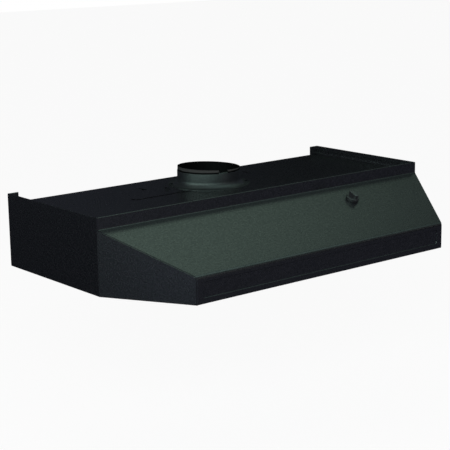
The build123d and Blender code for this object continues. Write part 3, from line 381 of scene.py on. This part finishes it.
def black_paint(name, smooth, dull):
    """Black paint with a fine mottle: its smooth specks are lighter than its dull ones."""
    paint = Finish(name, colours().paint, smooth)
    mottle = paint.noise(scale=330, detail=2.0, rough=0.5)
    paint.tint(mottle, colours().paint_light, colours().paint, start=0.38, end=0.62)
    paint.roughen(mottle, smooth, dull, start=0.35, end=0.65)
    paint.raise_by(mottle, height=0.00004, strength=0.20)
    return paint


def galvanised():
    """Galvanised sheet: flat zinc crystals that differ in tone and gloss, with fine rolling lines."""
    base = colours().zinc
    zinc = Finish("galvanised sheet", base, rough=0.42, metal=1.0)
    crystal = zinc.cells(scale=95)
    zinc.vary(crystal, base, dark=0.78, light=1.18, start=0.1, end=0.9)
    zinc.roughen(crystal, low=0.32, high=0.52, start=0.1, end=0.9)
    lines = zinc.noise(scale=500, detail=2.0, rough=0.5, place=zinc.stretched((0.06, 1, 1)))
    zinc.raise_by(lines, height=0.00004, strength=0.4)
    return zinc


def brushed(name, base, rough, stretch):
    """Rolled bare metal with fine lines along one direction and cloudy stains."""
    metal = Finish(name, base, rough, metal=1.0)
    lines = metal.noise(scale=900, detail=3.0, rough=0.6, place=metal.stretched(stretch))
    stains = metal.noise(scale=60, detail=4.0)
    metal.vary(stains, base, dark=0.84, light=1.08)
    metal.roughen(lines, low=rough - 0.08, high=rough + 0.10)
    metal.raise_by(lines, height=0.00004, strength=0.5)
    return metal


def bare_ring():
    """Dull bare steel outside and clear of the collar, with black painted shade inside and a black painted
    shadow line at the joint with the collar.
    """
    base = colours().dull_steel
    steel = Finish("dull steel", base, rough=0.5, specular=0.05)
    # Painted shade: black inside the ring and a painted shadow line where it meets the collar.
    steel.tint(ring_unshaded(steel), colours().ring_shade, base, start=0, end=1)
    steel.roughen(steel.noise(scale=500), low=0.42, high=0.58)
    return steel


def ring_unshaded(steel):
    """One on the outer side of the ring's sheet, well above the collar, and nought elsewhere, where the
    shade is painted.
    """
    size = sizes()
    split = steel.tree.nodes.new("ShaderNodeSeparateXYZ")
    steel.link(steel.place, split.inputs[0])
    flat = steel.tree.nodes.new("ShaderNodeCombineXYZ")
    steel.link(split.outputs["X"], flat.inputs["X"])
    steel.link(split.outputs["Y"], flat.inputs["Y"])
    away = steel.tree.nodes.new("ShaderNodeVectorMath")
    away.operation = "DISTANCE"
    away.inputs[1].default_value = (collar_middle[0], collar_middle[1], 0)
    steel.link(flat.outputs[0], away.inputs[0])
    inner_face = size.collar_radius - size.collar_sheet
    middle = inner_face - size.collar_sheet / 2
    fade = size.painted_shade_fade
    outside = steel.remap(away.outputs["Value"], 0, 1, start=middle - fade, end=middle + fade)
    # Below this height the ring's outside carries the painted shadow of the joint.
    shaded_up_to = collar_top + size.painted_shade_top
    bare = collar_top + size.bare_foot
    above = steel.remap(split.outputs["Z"], 0, 1, start=shaded_up_to, end=bare)
    clear = steel.tree.nodes.new("ShaderNodeMath")
    clear.operation = "MULTIPLY"
    steel.link(outside, clear.inputs[0])
    steel.link(above, clear.inputs[1])
    return clear.outputs[0]


def cast(name, base, metal, rough, grain):
    """Cast, sintered, plated or lacquered metal with a grainy skin."""
    skin = Finish(name, base, rough, metal)
    pits = skin.noise(grain, detail=4.0, rough=0.65)
    skin.vary(pits, base, dark=0.75, light=1.12)
    skin.roughen(pits, low=rough - 0.06, high=rough + 0.12)
    skin.raise_by(pits, height=0.00015, strength=0.5)
    return skin


def moulded(name, base, rough, grain=700, specular=0.4):
    """Moulded plastic or a dull coating with a fine grain."""
    plastic = Finish(name, base, rough, specular=specular)
    fine = plastic.noise(grain, detail=3.0, rough=0.6)
    clouds = plastic.noise(scale=110)
    plastic.vary(clouds, base, dark=0.86, light=1.14)
    plastic.roughen(fine, low=rough - 0.05, high=rough + 0.08)
    plastic.raise_by(fine, height=0.00008, strength=0.5)
    return plastic


def glazed(name, base, rough):
    """Fired white glaze or enamel with soft waves and faint specks."""
    glaze = Finish(name, base, rough)
    specks = glaze.noise(scale=420, detail=2.0, rough=0.4)
    glaze.vary(specks, base, dark=0.93, light=1.0, start=0.24, end=0.36)
    glaze.roughen(glaze.noise(scale=80, detail=2.0), low=rough, high=rough + 0.10)
    glaze.raise_by(glaze.noise(scale=140, detail=2.0), height=0.00012, strength=0.4)
    return glaze


def laminated():
    """Stacked core plates: dark edges in even layers along the height."""
    base = colours().core
    core = Finish("laminated core", base, rough=0.5, metal=1.0)
    layers = core.stripes(scale=320, axis="Z")
    core.vary(layers, base, dark=0.45, light=1.3, start=0.2, end=0.6)
    core.roughen(core.noise(scale=300), low=0.42, high=0.62)
    core.raise_by(layers, height=0.00012, strength=0.7)
    return core


def wound():
    """Varnished copper winding: side by side turns across the coil."""
    base = colours().winding
    copper = Finish("varnished winding", base, rough=0.30, metal=0.75)
    turns = copper.stripes(scale=300, axis="X", bend=0.6)
    copper.vary(turns, base, dark=0.35, light=1.25, start=0.15, end=0.75)
    copper.roughen(copper.noise(scale=200), low=0.24, high=0.42)
    copper.raise_by(turns, height=0.0003, strength=0.8)
    return copper


def frosted(name, base, rough, transmission, bending=1.46):
    """Frosted glass or lens plastic with cloudy gloss."""
    glass = Finish(name, base, rough)
    glass.shader.inputs["Transmission Weight"].default_value = transmission
    glass.shader.inputs["IOR"].default_value = bending
    glass.roughen(glass.noise(scale=300, detail=2.0), low=rough - 0.06, high=rough + 0.08)
    return glass


# Operators


class HoodOperator:
    """What the operators have in common."""

    bl_options = {"REGISTER", "UNDO"}

    def execute(self, context):
        self.build()
        return {"FINISHED"}


class HOOD_OT_shell(HoodOperator, bpy.types.Operator):
    """Make the collar and paint the outer sheets, the damper flaps, the blower box and the wiring cover"""

    bl_idname = "hood.shell"
    bl_label = "Shell"

    def build(self):
        paint = black_paint("satin black paint", smooth=0.25, dull=0.34)
        paint.give("front_panel", "left_side_panel", "right_side_panel", "top_panel", "back_panel")
        paint.give("front_damper_flap", "rear_damper_flap", "blower_box", "wiring_cover")
        black_paint("dull black paint", smooth=0.38, dull=0.48).wear(duct_collar())


def duct_collar():
    """Spigot: a closed profile of foot, flare, wall and rounded rim, turned about the duct axis."""
    size = sizes()
    sheet = size.collar_sheet
    wall = size.collar_radius
    flare = size.collar_flare
    hinge = (wall + flare, sheet + flare)
    rim = (wall - sheet / 2, collar_top - sheet / 2)
    profile = np.concatenate(
        [
            [(collar_foot_radius, 0), (collar_foot_radius, sheet)],
            arc(hinge, flare, 270, 180, size.flare_steps),
            arc(rim, sheet / 2, 0, 180, size.rim_steps),
            arc(hinge, flare + sheet, 180, 270, size.flare_steps),
        ]
    )
    turns = np.linspace(0, 2 * np.pi, size.collar_steps, endpoint=False)
    points = turned(profile, turns, collar_middle)
    faces = grid_quads(len(turns), len(profile), True, True).tolist()
    collar = solid_object("collar_shell", points, faces, "hood")
    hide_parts("duct_collar")
    return collar


class HOOD_OT_damper(HoodOperator, bpy.types.Operator):
    """Finish the damper ring and its rod"""

    bl_idname = "hood.damper"
    bl_label = "Damper"

    def build(self):
        bare_ring().give("damper_ring", "damper_rod")


class HOOD_OT_blower(HoodOperator, bpy.types.Operator):
    """Finish the fan plate, the motor strap, the filter brackets and the springs"""

    bl_idname = "hood.blower"
    bl_label = "Blower and springs"

    def build(self):
        galvanised().give("fan_plate", "motor_strap", "filter_brackets")
        spring = brushed("blued spring", colours().spring, rough=0.34, stretch=(1, 1, 0.05))
        spring.give("filter_clips", "lens_clips")


class HOOD_OT_motor(HoodOperator, bpy.types.Operator):
    """Finish the motor and the two shafts"""

    bl_idname = "hood.motor"
    bl_label = "Motor"

    def build(self):
        laminated().give("motor_laminations", "rotor_core")
        wound().give("motor_coil")
        casting = cast("die casting", colours().casting, metal=1.0, rough=0.5, grain=420)
        casting.give("upper_bearing_bridge", "lower_bearing_bridge")
        bronze = cast("sintered bronze", colours().bronze, metal=1.0, rough=0.45, grain=900)
        bronze.give("shaft_bushings")
        ground = brushed("ground shaft", colours().aluminium, rough=0.22, stretch=(1, 1, 0.04))
        ground.give("motor_shaft", "switch_shaft")


class HOOD_OT_fan(HoodOperator, bpy.types.Operator):
    """Finish the fan wheel"""

    bl_idname = "hood.fan"
    bl_label = "Fan wheel"

    def build(self):
        metal = brushed("fan aluminium", colours().aluminium, rough=0.36, stretch=(1, 0.08, 1))
        metal.give("fan_wheel")


class HOOD_OT_filter(HoodOperator, bpy.types.Operator):
    """Make the grease mesh and finish the filter"""

    bl_idname = "hood.filter"
    bl_label = "Grease filter"

    def build(self):
        metal = brushed("filter aluminium", colours().aluminium, rough=0.40, stretch=(0.06, 1, 1))
        metal.give("filter_frame", "filter_pull", "filter_pins")
        metal.wear(grease_mesh())


def grease_mesh():
    """Expanded mesh: flat strands in two crossed layers, each strand a closed bar."""
    points = np.concatenate([strand_layer(0), strand_layer(1)])
    bars, rows, corners = points.shape[:3]
    sides = grid_quads(rows, corners, False, True)
    ends = np.array([np.arange(corners), (rows - 1) * corners + np.arange(corners)])
    bar = np.concatenate([sides, ends])
    first = np.arange(bars) * rows * corners
    faces = (bar[None] + first[:, None, None]).reshape(-1, 4).tolist()
    mesh = solid_object("grease_mesh", points, faces, "filter", crease=30.0)
    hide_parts("filter_mesh")
    return mesh


def strand_layer(layer):
    """Corner points of the strands in one layer of the mesh.

    Strand k runs along y at x = k pitch + (-1)^k swing w(y), where w is a triangle wave with flat tops,
    so neighbours meet at every half wave. The second layer is shifted by half a pitch and half a wave.
    """
    size = sizes()
    low = low_corner("filter_mesh") + (size.mesh_edge, size.mesh_edge, size.mesh_gap)
    high = high_corner("filter_mesh") - (size.mesh_edge, size.mesh_edge, size.mesh_gap)
    pitch = size.strand_pitch
    half = size.strand_width / 2
    thick = size.strand_thick
    number = np.arange(int((high[0] - low[0] - pitch) / pitch) + 1)[:, None]
    y = np.linspace(low[1], high[1], size.diamond_steps * diamond_count() + 1)[None, :]
    phase = (y - low[1]) / size.diamond_length + layer / 2
    wave = np.clip(size.strand_slope * (4 * np.abs(phase % 1 - 0.5) - 1), -1, 1)
    swing = pitch / 2 - half * size.strand_short
    x = low[0] + (number + 0.5 + layer / 2) * pitch + np.where(number % 2, -1, 1) * swing * wave
    x = np.clip(x, low[0] + half, high[0] - half)
    y = np.broadcast_to(y, x.shape)
    bottom = low[2] + layer * (high[2] - low[2] - thick)
    corners = [(-half, bottom), (half, bottom), (half, bottom + thick), (-half, bottom + thick)]
    bars = [np.stack([x + across, y, np.full(x.shape, z)], -1) for across, z in corners]
    return np.stack(bars, -2)


def diamond_count():
    """Whole diamonds along the grease mesh."""
    long = high_corner("filter_mesh")[1] - low_corner("filter_mesh")[1]
    return int(long / sizes().diamond_length)


class HOOD_OT_lamp(HoodOperator, bpy.types.Operator):
    """Make the lamp glass and finish the lamp pan, holder, cap and lens"""

    bl_idname = "hood.lamp"
    bl_label = "Lamp"

    def build(self):
        glazed("white enamel", colours().enamel, rough=0.22).give("lamp_pan")
        glazed("porcelain", colours().porcelain, rough=0.18).give("lamp_socket")
        brushed("lamp cap", colours().aluminium, rough=0.34, stretch=(0.3, 1, 1)).give("lamp_cap")
        lens = frosted("lens plastic", colours().lens, rough=0.34, transmission=0.55)
        lens.raise_by(lens.stripes(scale=80, axis="X"), height=0.0006, strength=0.7)
        lens.give("light_lens")
        frosted("frosted glass", colours().lens, rough=0.42, transmission=0.6).wear(lamp_glass())


def lamp_glass():
    """Pear shaped shell: outer and inner outline turned about a lying axis, y = r cos a, z = r sin a."""
    size = sizes()
    low = low_corner("lamp_glass")
    high = high_corner("lamp_glass")
    middle = (low + high) / 2
    long = high[0] - low[0]
    wall = size.glass_wall
    outer = pear(long, size.neck_radius, size.bulb_radius)
    inner = pear(long - wall, size.neck_radius - wall, size.bulb_radius - wall)
    profile = np.concatenate([outer, inner[::-1]])
    turns = np.linspace(0, 2 * np.pi, size.bulb_steps, endpoint=False)
    x = np.broadcast_to(low[0] + profile[None, :, 0], (len(turns), len(profile)))
    y = middle[1] + profile[None, :, 1] * np.cos(turns)[:, None]
    z = middle[2] + profile[None, :, 1] * np.sin(turns)[:, None]
    faces = grid_quads(len(turns), len(profile), True, True).tolist()
    glass = solid_object("lamp_bulb", np.stack([x, y, z], -1), faces, "hood")
    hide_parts("lamp_glass")
    return glass


def pear(long, neck, bulb):
    """Half outline of the glass from the open neck to the tip: distance along the axis and radius.

    The radius is that of the neck, then rises by half a cosine to the bulb, which ends in a quarter circle.
    """
    start = sizes().neck_length
    widest = long - bulb
    rise = np.linspace(0, 1, sizes().outline_steps)
    swell = neck + (bulb - neck) * (0.5 - 0.5 * np.cos(np.pi * rise))
    shoulder = np.stack([start + (widest - start) * rise, swell], -1)
    turn = np.linspace(0, np.pi / 2, sizes().outline_steps)[1:]
    tip = np.stack([widest + bulb * np.sin(turn), bulb * np.cos(turn)], -1)
    return np.concatenate([[(0, neck)], shoulder, tip])


class HOOD_OT_control(HoodOperator, bpy.types.Operator):
    """Finish the knob and the switch"""

    bl_idname = "hood.control"
    bl_label = "Control"

    def build(self):
        plastic = moulded("black plastic", colours().plastic, rough=0.26, specular=0.5)
        plastic.give("control_knob", "switch_body")
        brushed("nickel", colours().nickel, rough=0.28, stretch=(1, 1, 0.2)).give("switch_bushing")


class HOOD_OT_wiring(HoodOperator, bpy.types.Operator):
    """Finish the terminal block, earth screw and leads"""

    bl_idname = "hood.wiring"
    bl_label = "Wiring"

    def build(self):
        moulded("terminal moulding", colours().terminal, rough=0.45).give("terminal_block")
        earth = cast("green earth screw", colours().earth, metal=0.0, rough=0.35, grain=800)
        earth.give("earth_screw")
        moulded("lead insulation", colours().lead, rough=0.55, grain=1200).give("inner_leads")


class HOOD_OT_screws(HoodOperator, bpy.types.Operator):
    """Finish the screws and nuts"""

    bl_idname = "hood.screws"
    bl_label = "Screws"

    def build(self):
        plated = cast("zinc plating", colours().plated, metal=1.0, rough=0.30, grain=1100)
        plated.give("strap_screws", "motor_screws", "motor_nuts", "switch_nut", "fan_nut")
        black = moulded("black oxide", colours().paint, rough=0.60, grain=1100, specular=0.1)
        black.give("collar_screws", "blower_screws", "lamp_screws", "cover_screws")


class HOOD_OT_stage(HoodOperator, bpy.types.Operator):
    """Set up the floor, the light and the camera"""

    bl_idname = "hood.stage"
    bl_label = "Stage"

    def build(self):
        studio = bpy.context.scene.hood_studio
        bpy.context.scene.view_settings.view_transform = "Standard"
        studio_floor(studio)
        studio_world(studio)
        studio_lamps(studio)
        upright_cards(studio)
        floor_cards(studio)
        overhead_cards(studio)
        front_wall(studio)
        studio_camera(studio)


def studio_floor(studio):
    """Flat floor that the camera sees white, apart from the hood's soft shadow; from below it is clear."""
    spread = (studio.floor_spread, studio.floor_spread)
    floor = flat_sheet("floor", (0, 0, studio.floor_level), (0, 0, 1), spread)
    material = bpy.data.materials.new("pale floor")
    material.use_nodes = True
    tree = material.node_tree
    tree.nodes.clear()
    matte = tree.nodes.new("ShaderNodeBsdfDiffuse")
    matte.inputs["Color"].default_value = (studio.floor_tone,) * 3 + (1,)
    glow = tree.nodes.new("ShaderNodeEmission")
    tree.links.new(seen_strength(tree, 0.0, studio.floor_glow), glow.inputs["Strength"])
    both = tree.nodes.new("ShaderNodeAddShader")
    tree.links.new(matte.outputs[0], both.inputs[0])
    tree.links.new(glow.outputs[0], both.inputs[1])
    clear = tree.nodes.new("ShaderNodeBsdfTransparent")
    side = tree.nodes.new("ShaderNodeNewGeometry")
    pick = tree.nodes.new("ShaderNodeMixShader")
    tree.links.new(side.outputs["Backfacing"], pick.inputs[0])
    tree.links.new(both.outputs[0], pick.inputs[1])
    tree.links.new(clear.outputs[0], pick.inputs[2])
    output = tree.nodes.new("ShaderNodeOutputMaterial")
    tree.links.new(pick.outputs[0], output.inputs["Surface"])
    floor.data.materials.append(material)


def flat_sheet(name, place, facing, spread):
    """Stage rectangle about a place, square to the way it faces."""
    turn = Vector(facing).to_track_quat("Z", "Y").to_matrix()
    wide = turn @ Vector((spread[0] / 2, 0, 0))
    tall = turn @ Vector((0, spread[1] / 2, 0))
    middle = Vector(place)
    corners = [middle - wide - tall, middle + wide - tall, middle + wide + tall, middle - wide + tall]
    return stage_object(name, [tuple(corner) for corner in corners], [(0, 1, 2, 3)])


def stage_object(name, points, faces):
    """Object that belongs to the stage and not to the hood."""
    mesh = bpy.data.meshes.new(name)
    mesh.from_pydata(points, [], faces)
    sheet = bpy.data.objects.new(name, mesh)
    bpy.context.scene.collection.objects.link(sheet)
    return sheet


def seen_strength(tree, lit, seen):
    """Strength by what looks: one for light, the other for camera, mirrored and clear rays."""
    path = tree.nodes.new("ShaderNodeLightPath")
    looks = path.outputs["Is Camera Ray"]
    for name in ("Is Glossy Ray", "Is Transmission Ray"):
        either = tree.nodes.new("ShaderNodeMath")
        either.operation = "MAXIMUM"
        tree.links.new(looks, either.inputs[0])
        tree.links.new(path.outputs[name], either.inputs[1])
        looks = either.outputs[0]
    pick = tree.nodes.new("ShaderNodeMix")
    pick.inputs["A"].default_value = lit
    pick.inputs["B"].default_value = seen
    tree.links.new(looks, pick.inputs["Factor"])
    return pick.outputs["Result"]


def studio_world(studio):
    """White to look at, even and soft as light."""
    world = bpy.data.worlds.new("studio")
    world.use_nodes = True
    bpy.context.scene.world = world
    back = world.node_tree.nodes["Background"]
    back.inputs["Color"].default_value = (1, 1, 1, 1)
    strength = seen_strength(world.node_tree, studio.ambient, 1.0)
    world.node_tree.links.new(strength, back.inputs["Strength"])


def studio_lamps(studio):
    """A lamp in front that nothing mirrors, and a weak one below that shows the filter and the lamp lens."""
    front = soft_light("front light", studio.front_place, (0, 0, 0), (1.6, 1.2), studio.front_energy)
    front.data.color = studio.front_tone
    front.visible_glossy = False
    above = (studio.under_place[0], studio.under_place[1], 0)
    under = soft_light("under light", studio.under_place, above, (0.6, 0.3), studio.under_energy)
    under.visible_camera = False


def soft_light(name, place, aim, spread, energy):
    """Rectangular lamp at a place that faces an aim."""
    data = bpy.data.lights.new(name, "AREA")
    data.shape = "RECTANGLE"
    data.size = spread[0]
    data.size_y = spread[1]
    data.energy = energy
    lamp = bpy.data.objects.new(name, data)
    lamp.location = place
    lamp.rotation_euler = (Vector(aim) - Vector(place)).to_track_quat("-Z", "Y").to_euler()
    bpy.context.scene.collection.objects.link(lamp)
    return lamp


def upright_cards(studio):
    """Dark cards about the hood, so that the black paint does not mirror white all round."""
    black = even_glow("black card", studio.card_tone)
    lighter = even_glow("right card", shade(studio.card_tone, studio.right_glow))
    rear = fading_glow("rear card", "X", ends=(0.7, 1.7), glow=(1.5, 0.3), tone=studio.card_tone)
    card("rear card", rear, place=(-0.2, 1.7, 1.7), facing=(0, -1, 0), spread=(5.6, 4.3))
    card("right card", lighter, place=(2.6, 0.2, 1.7), facing=(-1, 0, 0), spread=(3.0, 4.3))
    card("left card", black, place=(-2.4, 2.3, 0.65), facing=(0.8, -0.6, 0), spread=(2.0, 2.2))
    card("front card", black, place=(2.4, -2.4, 0.35), facing=(-0.7, 0.7, 0), spread=(2.6, 1.6))


def floor_cards(studio):
    """Cards just above the floor: black ones, a grey one in front and a pale one on the left."""
    black = bpy.data.materials["black card"]
    front = fading_glow("front floor card", "Y", ends=(-2.4, -1.2), glow=(9.0, 4.0), tone=studio.card_tone)
    pale = even_glow("pale card", studio.pale_tone)
    low = studio.floor_level + studio.card_lift
    cards = (
        ("left floor card", black, (-1.6, 1.1, low), (2.2, 3.2)),
        ("right floor card", black, (1.6, 1.1, low), (2.2, 3.2)),
        ("rear floor card", black, (0, 1.75, low), (1.0, 2.9)),
        ("front floor card", front, (-0.4, -2.2, low), (7.6, 2.8)),
        ("inner floor card", black, (0.5, -0.55, low), (3.8, 0.5)),
        ("outer floor card", pale, (-2.0, -0.55, low), (1.2, 0.5)),
    )
    for name, material, place, spread in cards:
        card(name, material, place, (0, 0, 1), spread)


def overhead_cards(studio):
    """Dim ceiling and two glowing cards just below it; the glow of all three fades to the right."""
    down = (0, 0, -1)
    dim = fading_glow("ceiling card", "X", ends=(0.4, 1.6), glow=(0.42, 0.06), tone=studio.wall_tone)
    card("ceiling card", dim, place=(0.6, -1.0, studio.ceiling_height), facing=down, spread=(5.0, 4.2))
    high = studio.sheen_height
    ends = (studio.sheen_bright, studio.sheen_dark)
    glow = (studio.sheen_left, studio.sheen_right)
    sheen = fading_glow("sheen card", "X", ends, glow, studio.sheen_tone)
    card("sheen card", sheen, place=(0.9, 0.55, high), facing=down, spread=(3.4, 0.5))
    stronger = (studio.front_sheen * glow[0], studio.front_sheen * glow[1])
    front = fading_glow("front sheen card", "X", ends, stronger, studio.wall_tone)
    card("front sheen card", front, place=(0.95, -0.70, high), facing=down, spread=(3.3, 1.2))


def card(name, material, place, facing, spread):
    """Flat card that only mirrored rays meet."""
    mirrored_only(flat_sheet(name, place, facing, spread), material)


def mirrored_only(sheet, material):
    """Show a stage sheet to mirrored rays alone."""
    sheet.data.materials.append(material)
    sheet.visible_camera = False
    sheet.visible_diffuse = False
    sheet.visible_transmission = False
    sheet.visible_shadow = False


def front_wall(studio):
    """Glowing wall in front, brightest on the left, on a black skirt."""
    ends = (studio.wall_bright, studio.wall_dark)
    glow = fading_glow("front wall", "X", ends, (studio.wall_glow, 0.0), studio.wall_tone)
    mirrored_only(curved_sheet("front wall", studio, studio.wall_foot, studio.wall_top), glow)
    skirt = curved_sheet("front skirt", studio, studio.floor_level, studio.wall_foot)
    mirrored_only(skirt, bpy.data.materials["black card"])


def curved_sheet(name, studio, foot, top):
    """Stage strip of a cylinder about the hood: x = r cos a, y = r sin a, between two heights."""
    reach = studio.wall_radius
    turns = np.linspace(studio.wall_from, studio.wall_to, studio.wall_steps)
    x = np.broadcast_to(reach * np.cos(turns)[:, None], (len(turns), 2))
    y = np.broadcast_to(reach * np.sin(turns)[:, None], (len(turns), 2))
    z = np.broadcast_to(np.array([foot, top])[None, :], (len(turns), 2))
    points = np.stack([x, y, z], -1).reshape(-1, 3)
    return stage_object(name, points.tolist(), grid_quads(len(turns), 2, False, False).tolist())


def glowing(name, tone):
    """Material that only glows in one tone, with its emission node."""
    material = bpy.data.materials.new(name)
    material.use_nodes = True
    tree = material.node_tree
    tree.nodes.clear()
    light = tree.nodes.new("ShaderNodeEmission")
    light.inputs["Color"].default_value = (*tone, 1)
    output = tree.nodes.new("ShaderNodeOutputMaterial")
    tree.links.new(light.outputs[0], output.inputs["Surface"])
    return material, light


def even_glow(name, tone):
    """Material of one even tone, whatever light falls on it."""
    material, light = glowing(name, tone)
    return material


def fading_glow(name, axis, ends, glow, tone):
    """Material whose glow changes along one axis from one strength to another."""
    material, light = glowing(name, tone)
    tree = material.node_tree
    place = tree.nodes.new("ShaderNodeTexCoord")
    split = tree.nodes.new("ShaderNodeSeparateXYZ")
    tree.links.new(place.outputs["Object"], split.inputs[0])
    fade = tree.nodes.new("ShaderNodeMapRange")
    fade.inputs["From Min"].default_value = ends[0]
    fade.inputs["From Max"].default_value = ends[1]
    fade.inputs["To Min"].default_value = glow[0]
    fade.inputs["To Max"].default_value = glow[1]
    tree.links.new(split.outputs[axis], fade.inputs["Value"])
    tree.links.new(fade.outputs["Result"], light.inputs["Strength"])
    return material


def studio_camera(studio):
    """Camera at the photograph's place, turned by azimuth, elevation and roll."""
    data = bpy.data.cameras.new("camera")
    data.lens = studio.lens
    data.sensor_width = studio.film_width
    camera = bpy.data.objects.new("camera", data)
    bpy.context.scene.collection.objects.link(camera)
    bpy.context.scene.camera = camera
    turn = studio.azimuth
    dip = studio.elevation
    ahead = Vector((math.sin(turn) * math.cos(dip), math.cos(turn) * math.cos(dip), -math.sin(dip)))
    right = Vector((math.cos(turn), -math.sin(turn), 0))
    up = right.cross(ahead)
    tilted = math.cos(studio.roll) * right + math.sin(studio.roll) * up
    upright = tilted.cross(ahead)
    axes = Matrix((tilted, upright, -ahead)).transposed()
    camera.matrix_world = Matrix.Translation(studio.camera_place) @ axes.to_4x4()


class HOOD_PT_panel(bpy.types.Panel):
    """Lists the hood's operators and settings"""

    bl_idname = "HOOD_PT_panel"
    bl_label = "Range Hood"
    bl_space_type = "VIEW_3D"
    bl_region_type = "UI"
    bl_category = "Range Hood"

    def draw(self, context):
        for operator in operators:
            self.layout.operator(operator.bl_idname)
        scene = context.scene
        for group in (scene.hood_sizes, scene.hood_colours, scene.hood_studio):
            box = self.layout.box()
            for name in group.__annotations__:
                box.prop(group, name)


operators = (
    HOOD_OT_stage,
    HOOD_OT_shell,
    HOOD_OT_damper,
    HOOD_OT_blower,
    HOOD_OT_motor,
    HOOD_OT_fan,
    HOOD_OT_filter,
    HOOD_OT_lamp,
    HOOD_OT_control,
    HOOD_OT_wiring,
    HOOD_OT_screws,
)
settings = (HoodSizes, HoodColours, HoodStudio)


def register():
    """Make the settings, operators and panel known to Blender."""
    for item in settings + operators + (HOOD_PT_panel,):
        bpy.utils.register_class(item)
    bpy.types.Scene.hood_sizes = PointerProperty(type=HoodSizes)
    bpy.types.Scene.hood_colours = PointerProperty(type=HoodColours)
    bpy.types.Scene.hood_studio = PointerProperty(type=HoodStudio)


def unregister():
    """Take everything out again."""
    del bpy.types.Scene.hood_sizes
    del bpy.types.Scene.hood_colours
    del bpy.types.Scene.hood_studio
    for item in reversed(settings + operators + (HOOD_PT_panel,)):
        bpy.utils.unregister_class(item)


def main():
    """Run every operator in order."""
    register()
    for operator in operators:
        group, name = operator.bl_idname.split(".")
        getattr(getattr(bpy.ops, group), name)()


if __name__ == "__main__":
    main()
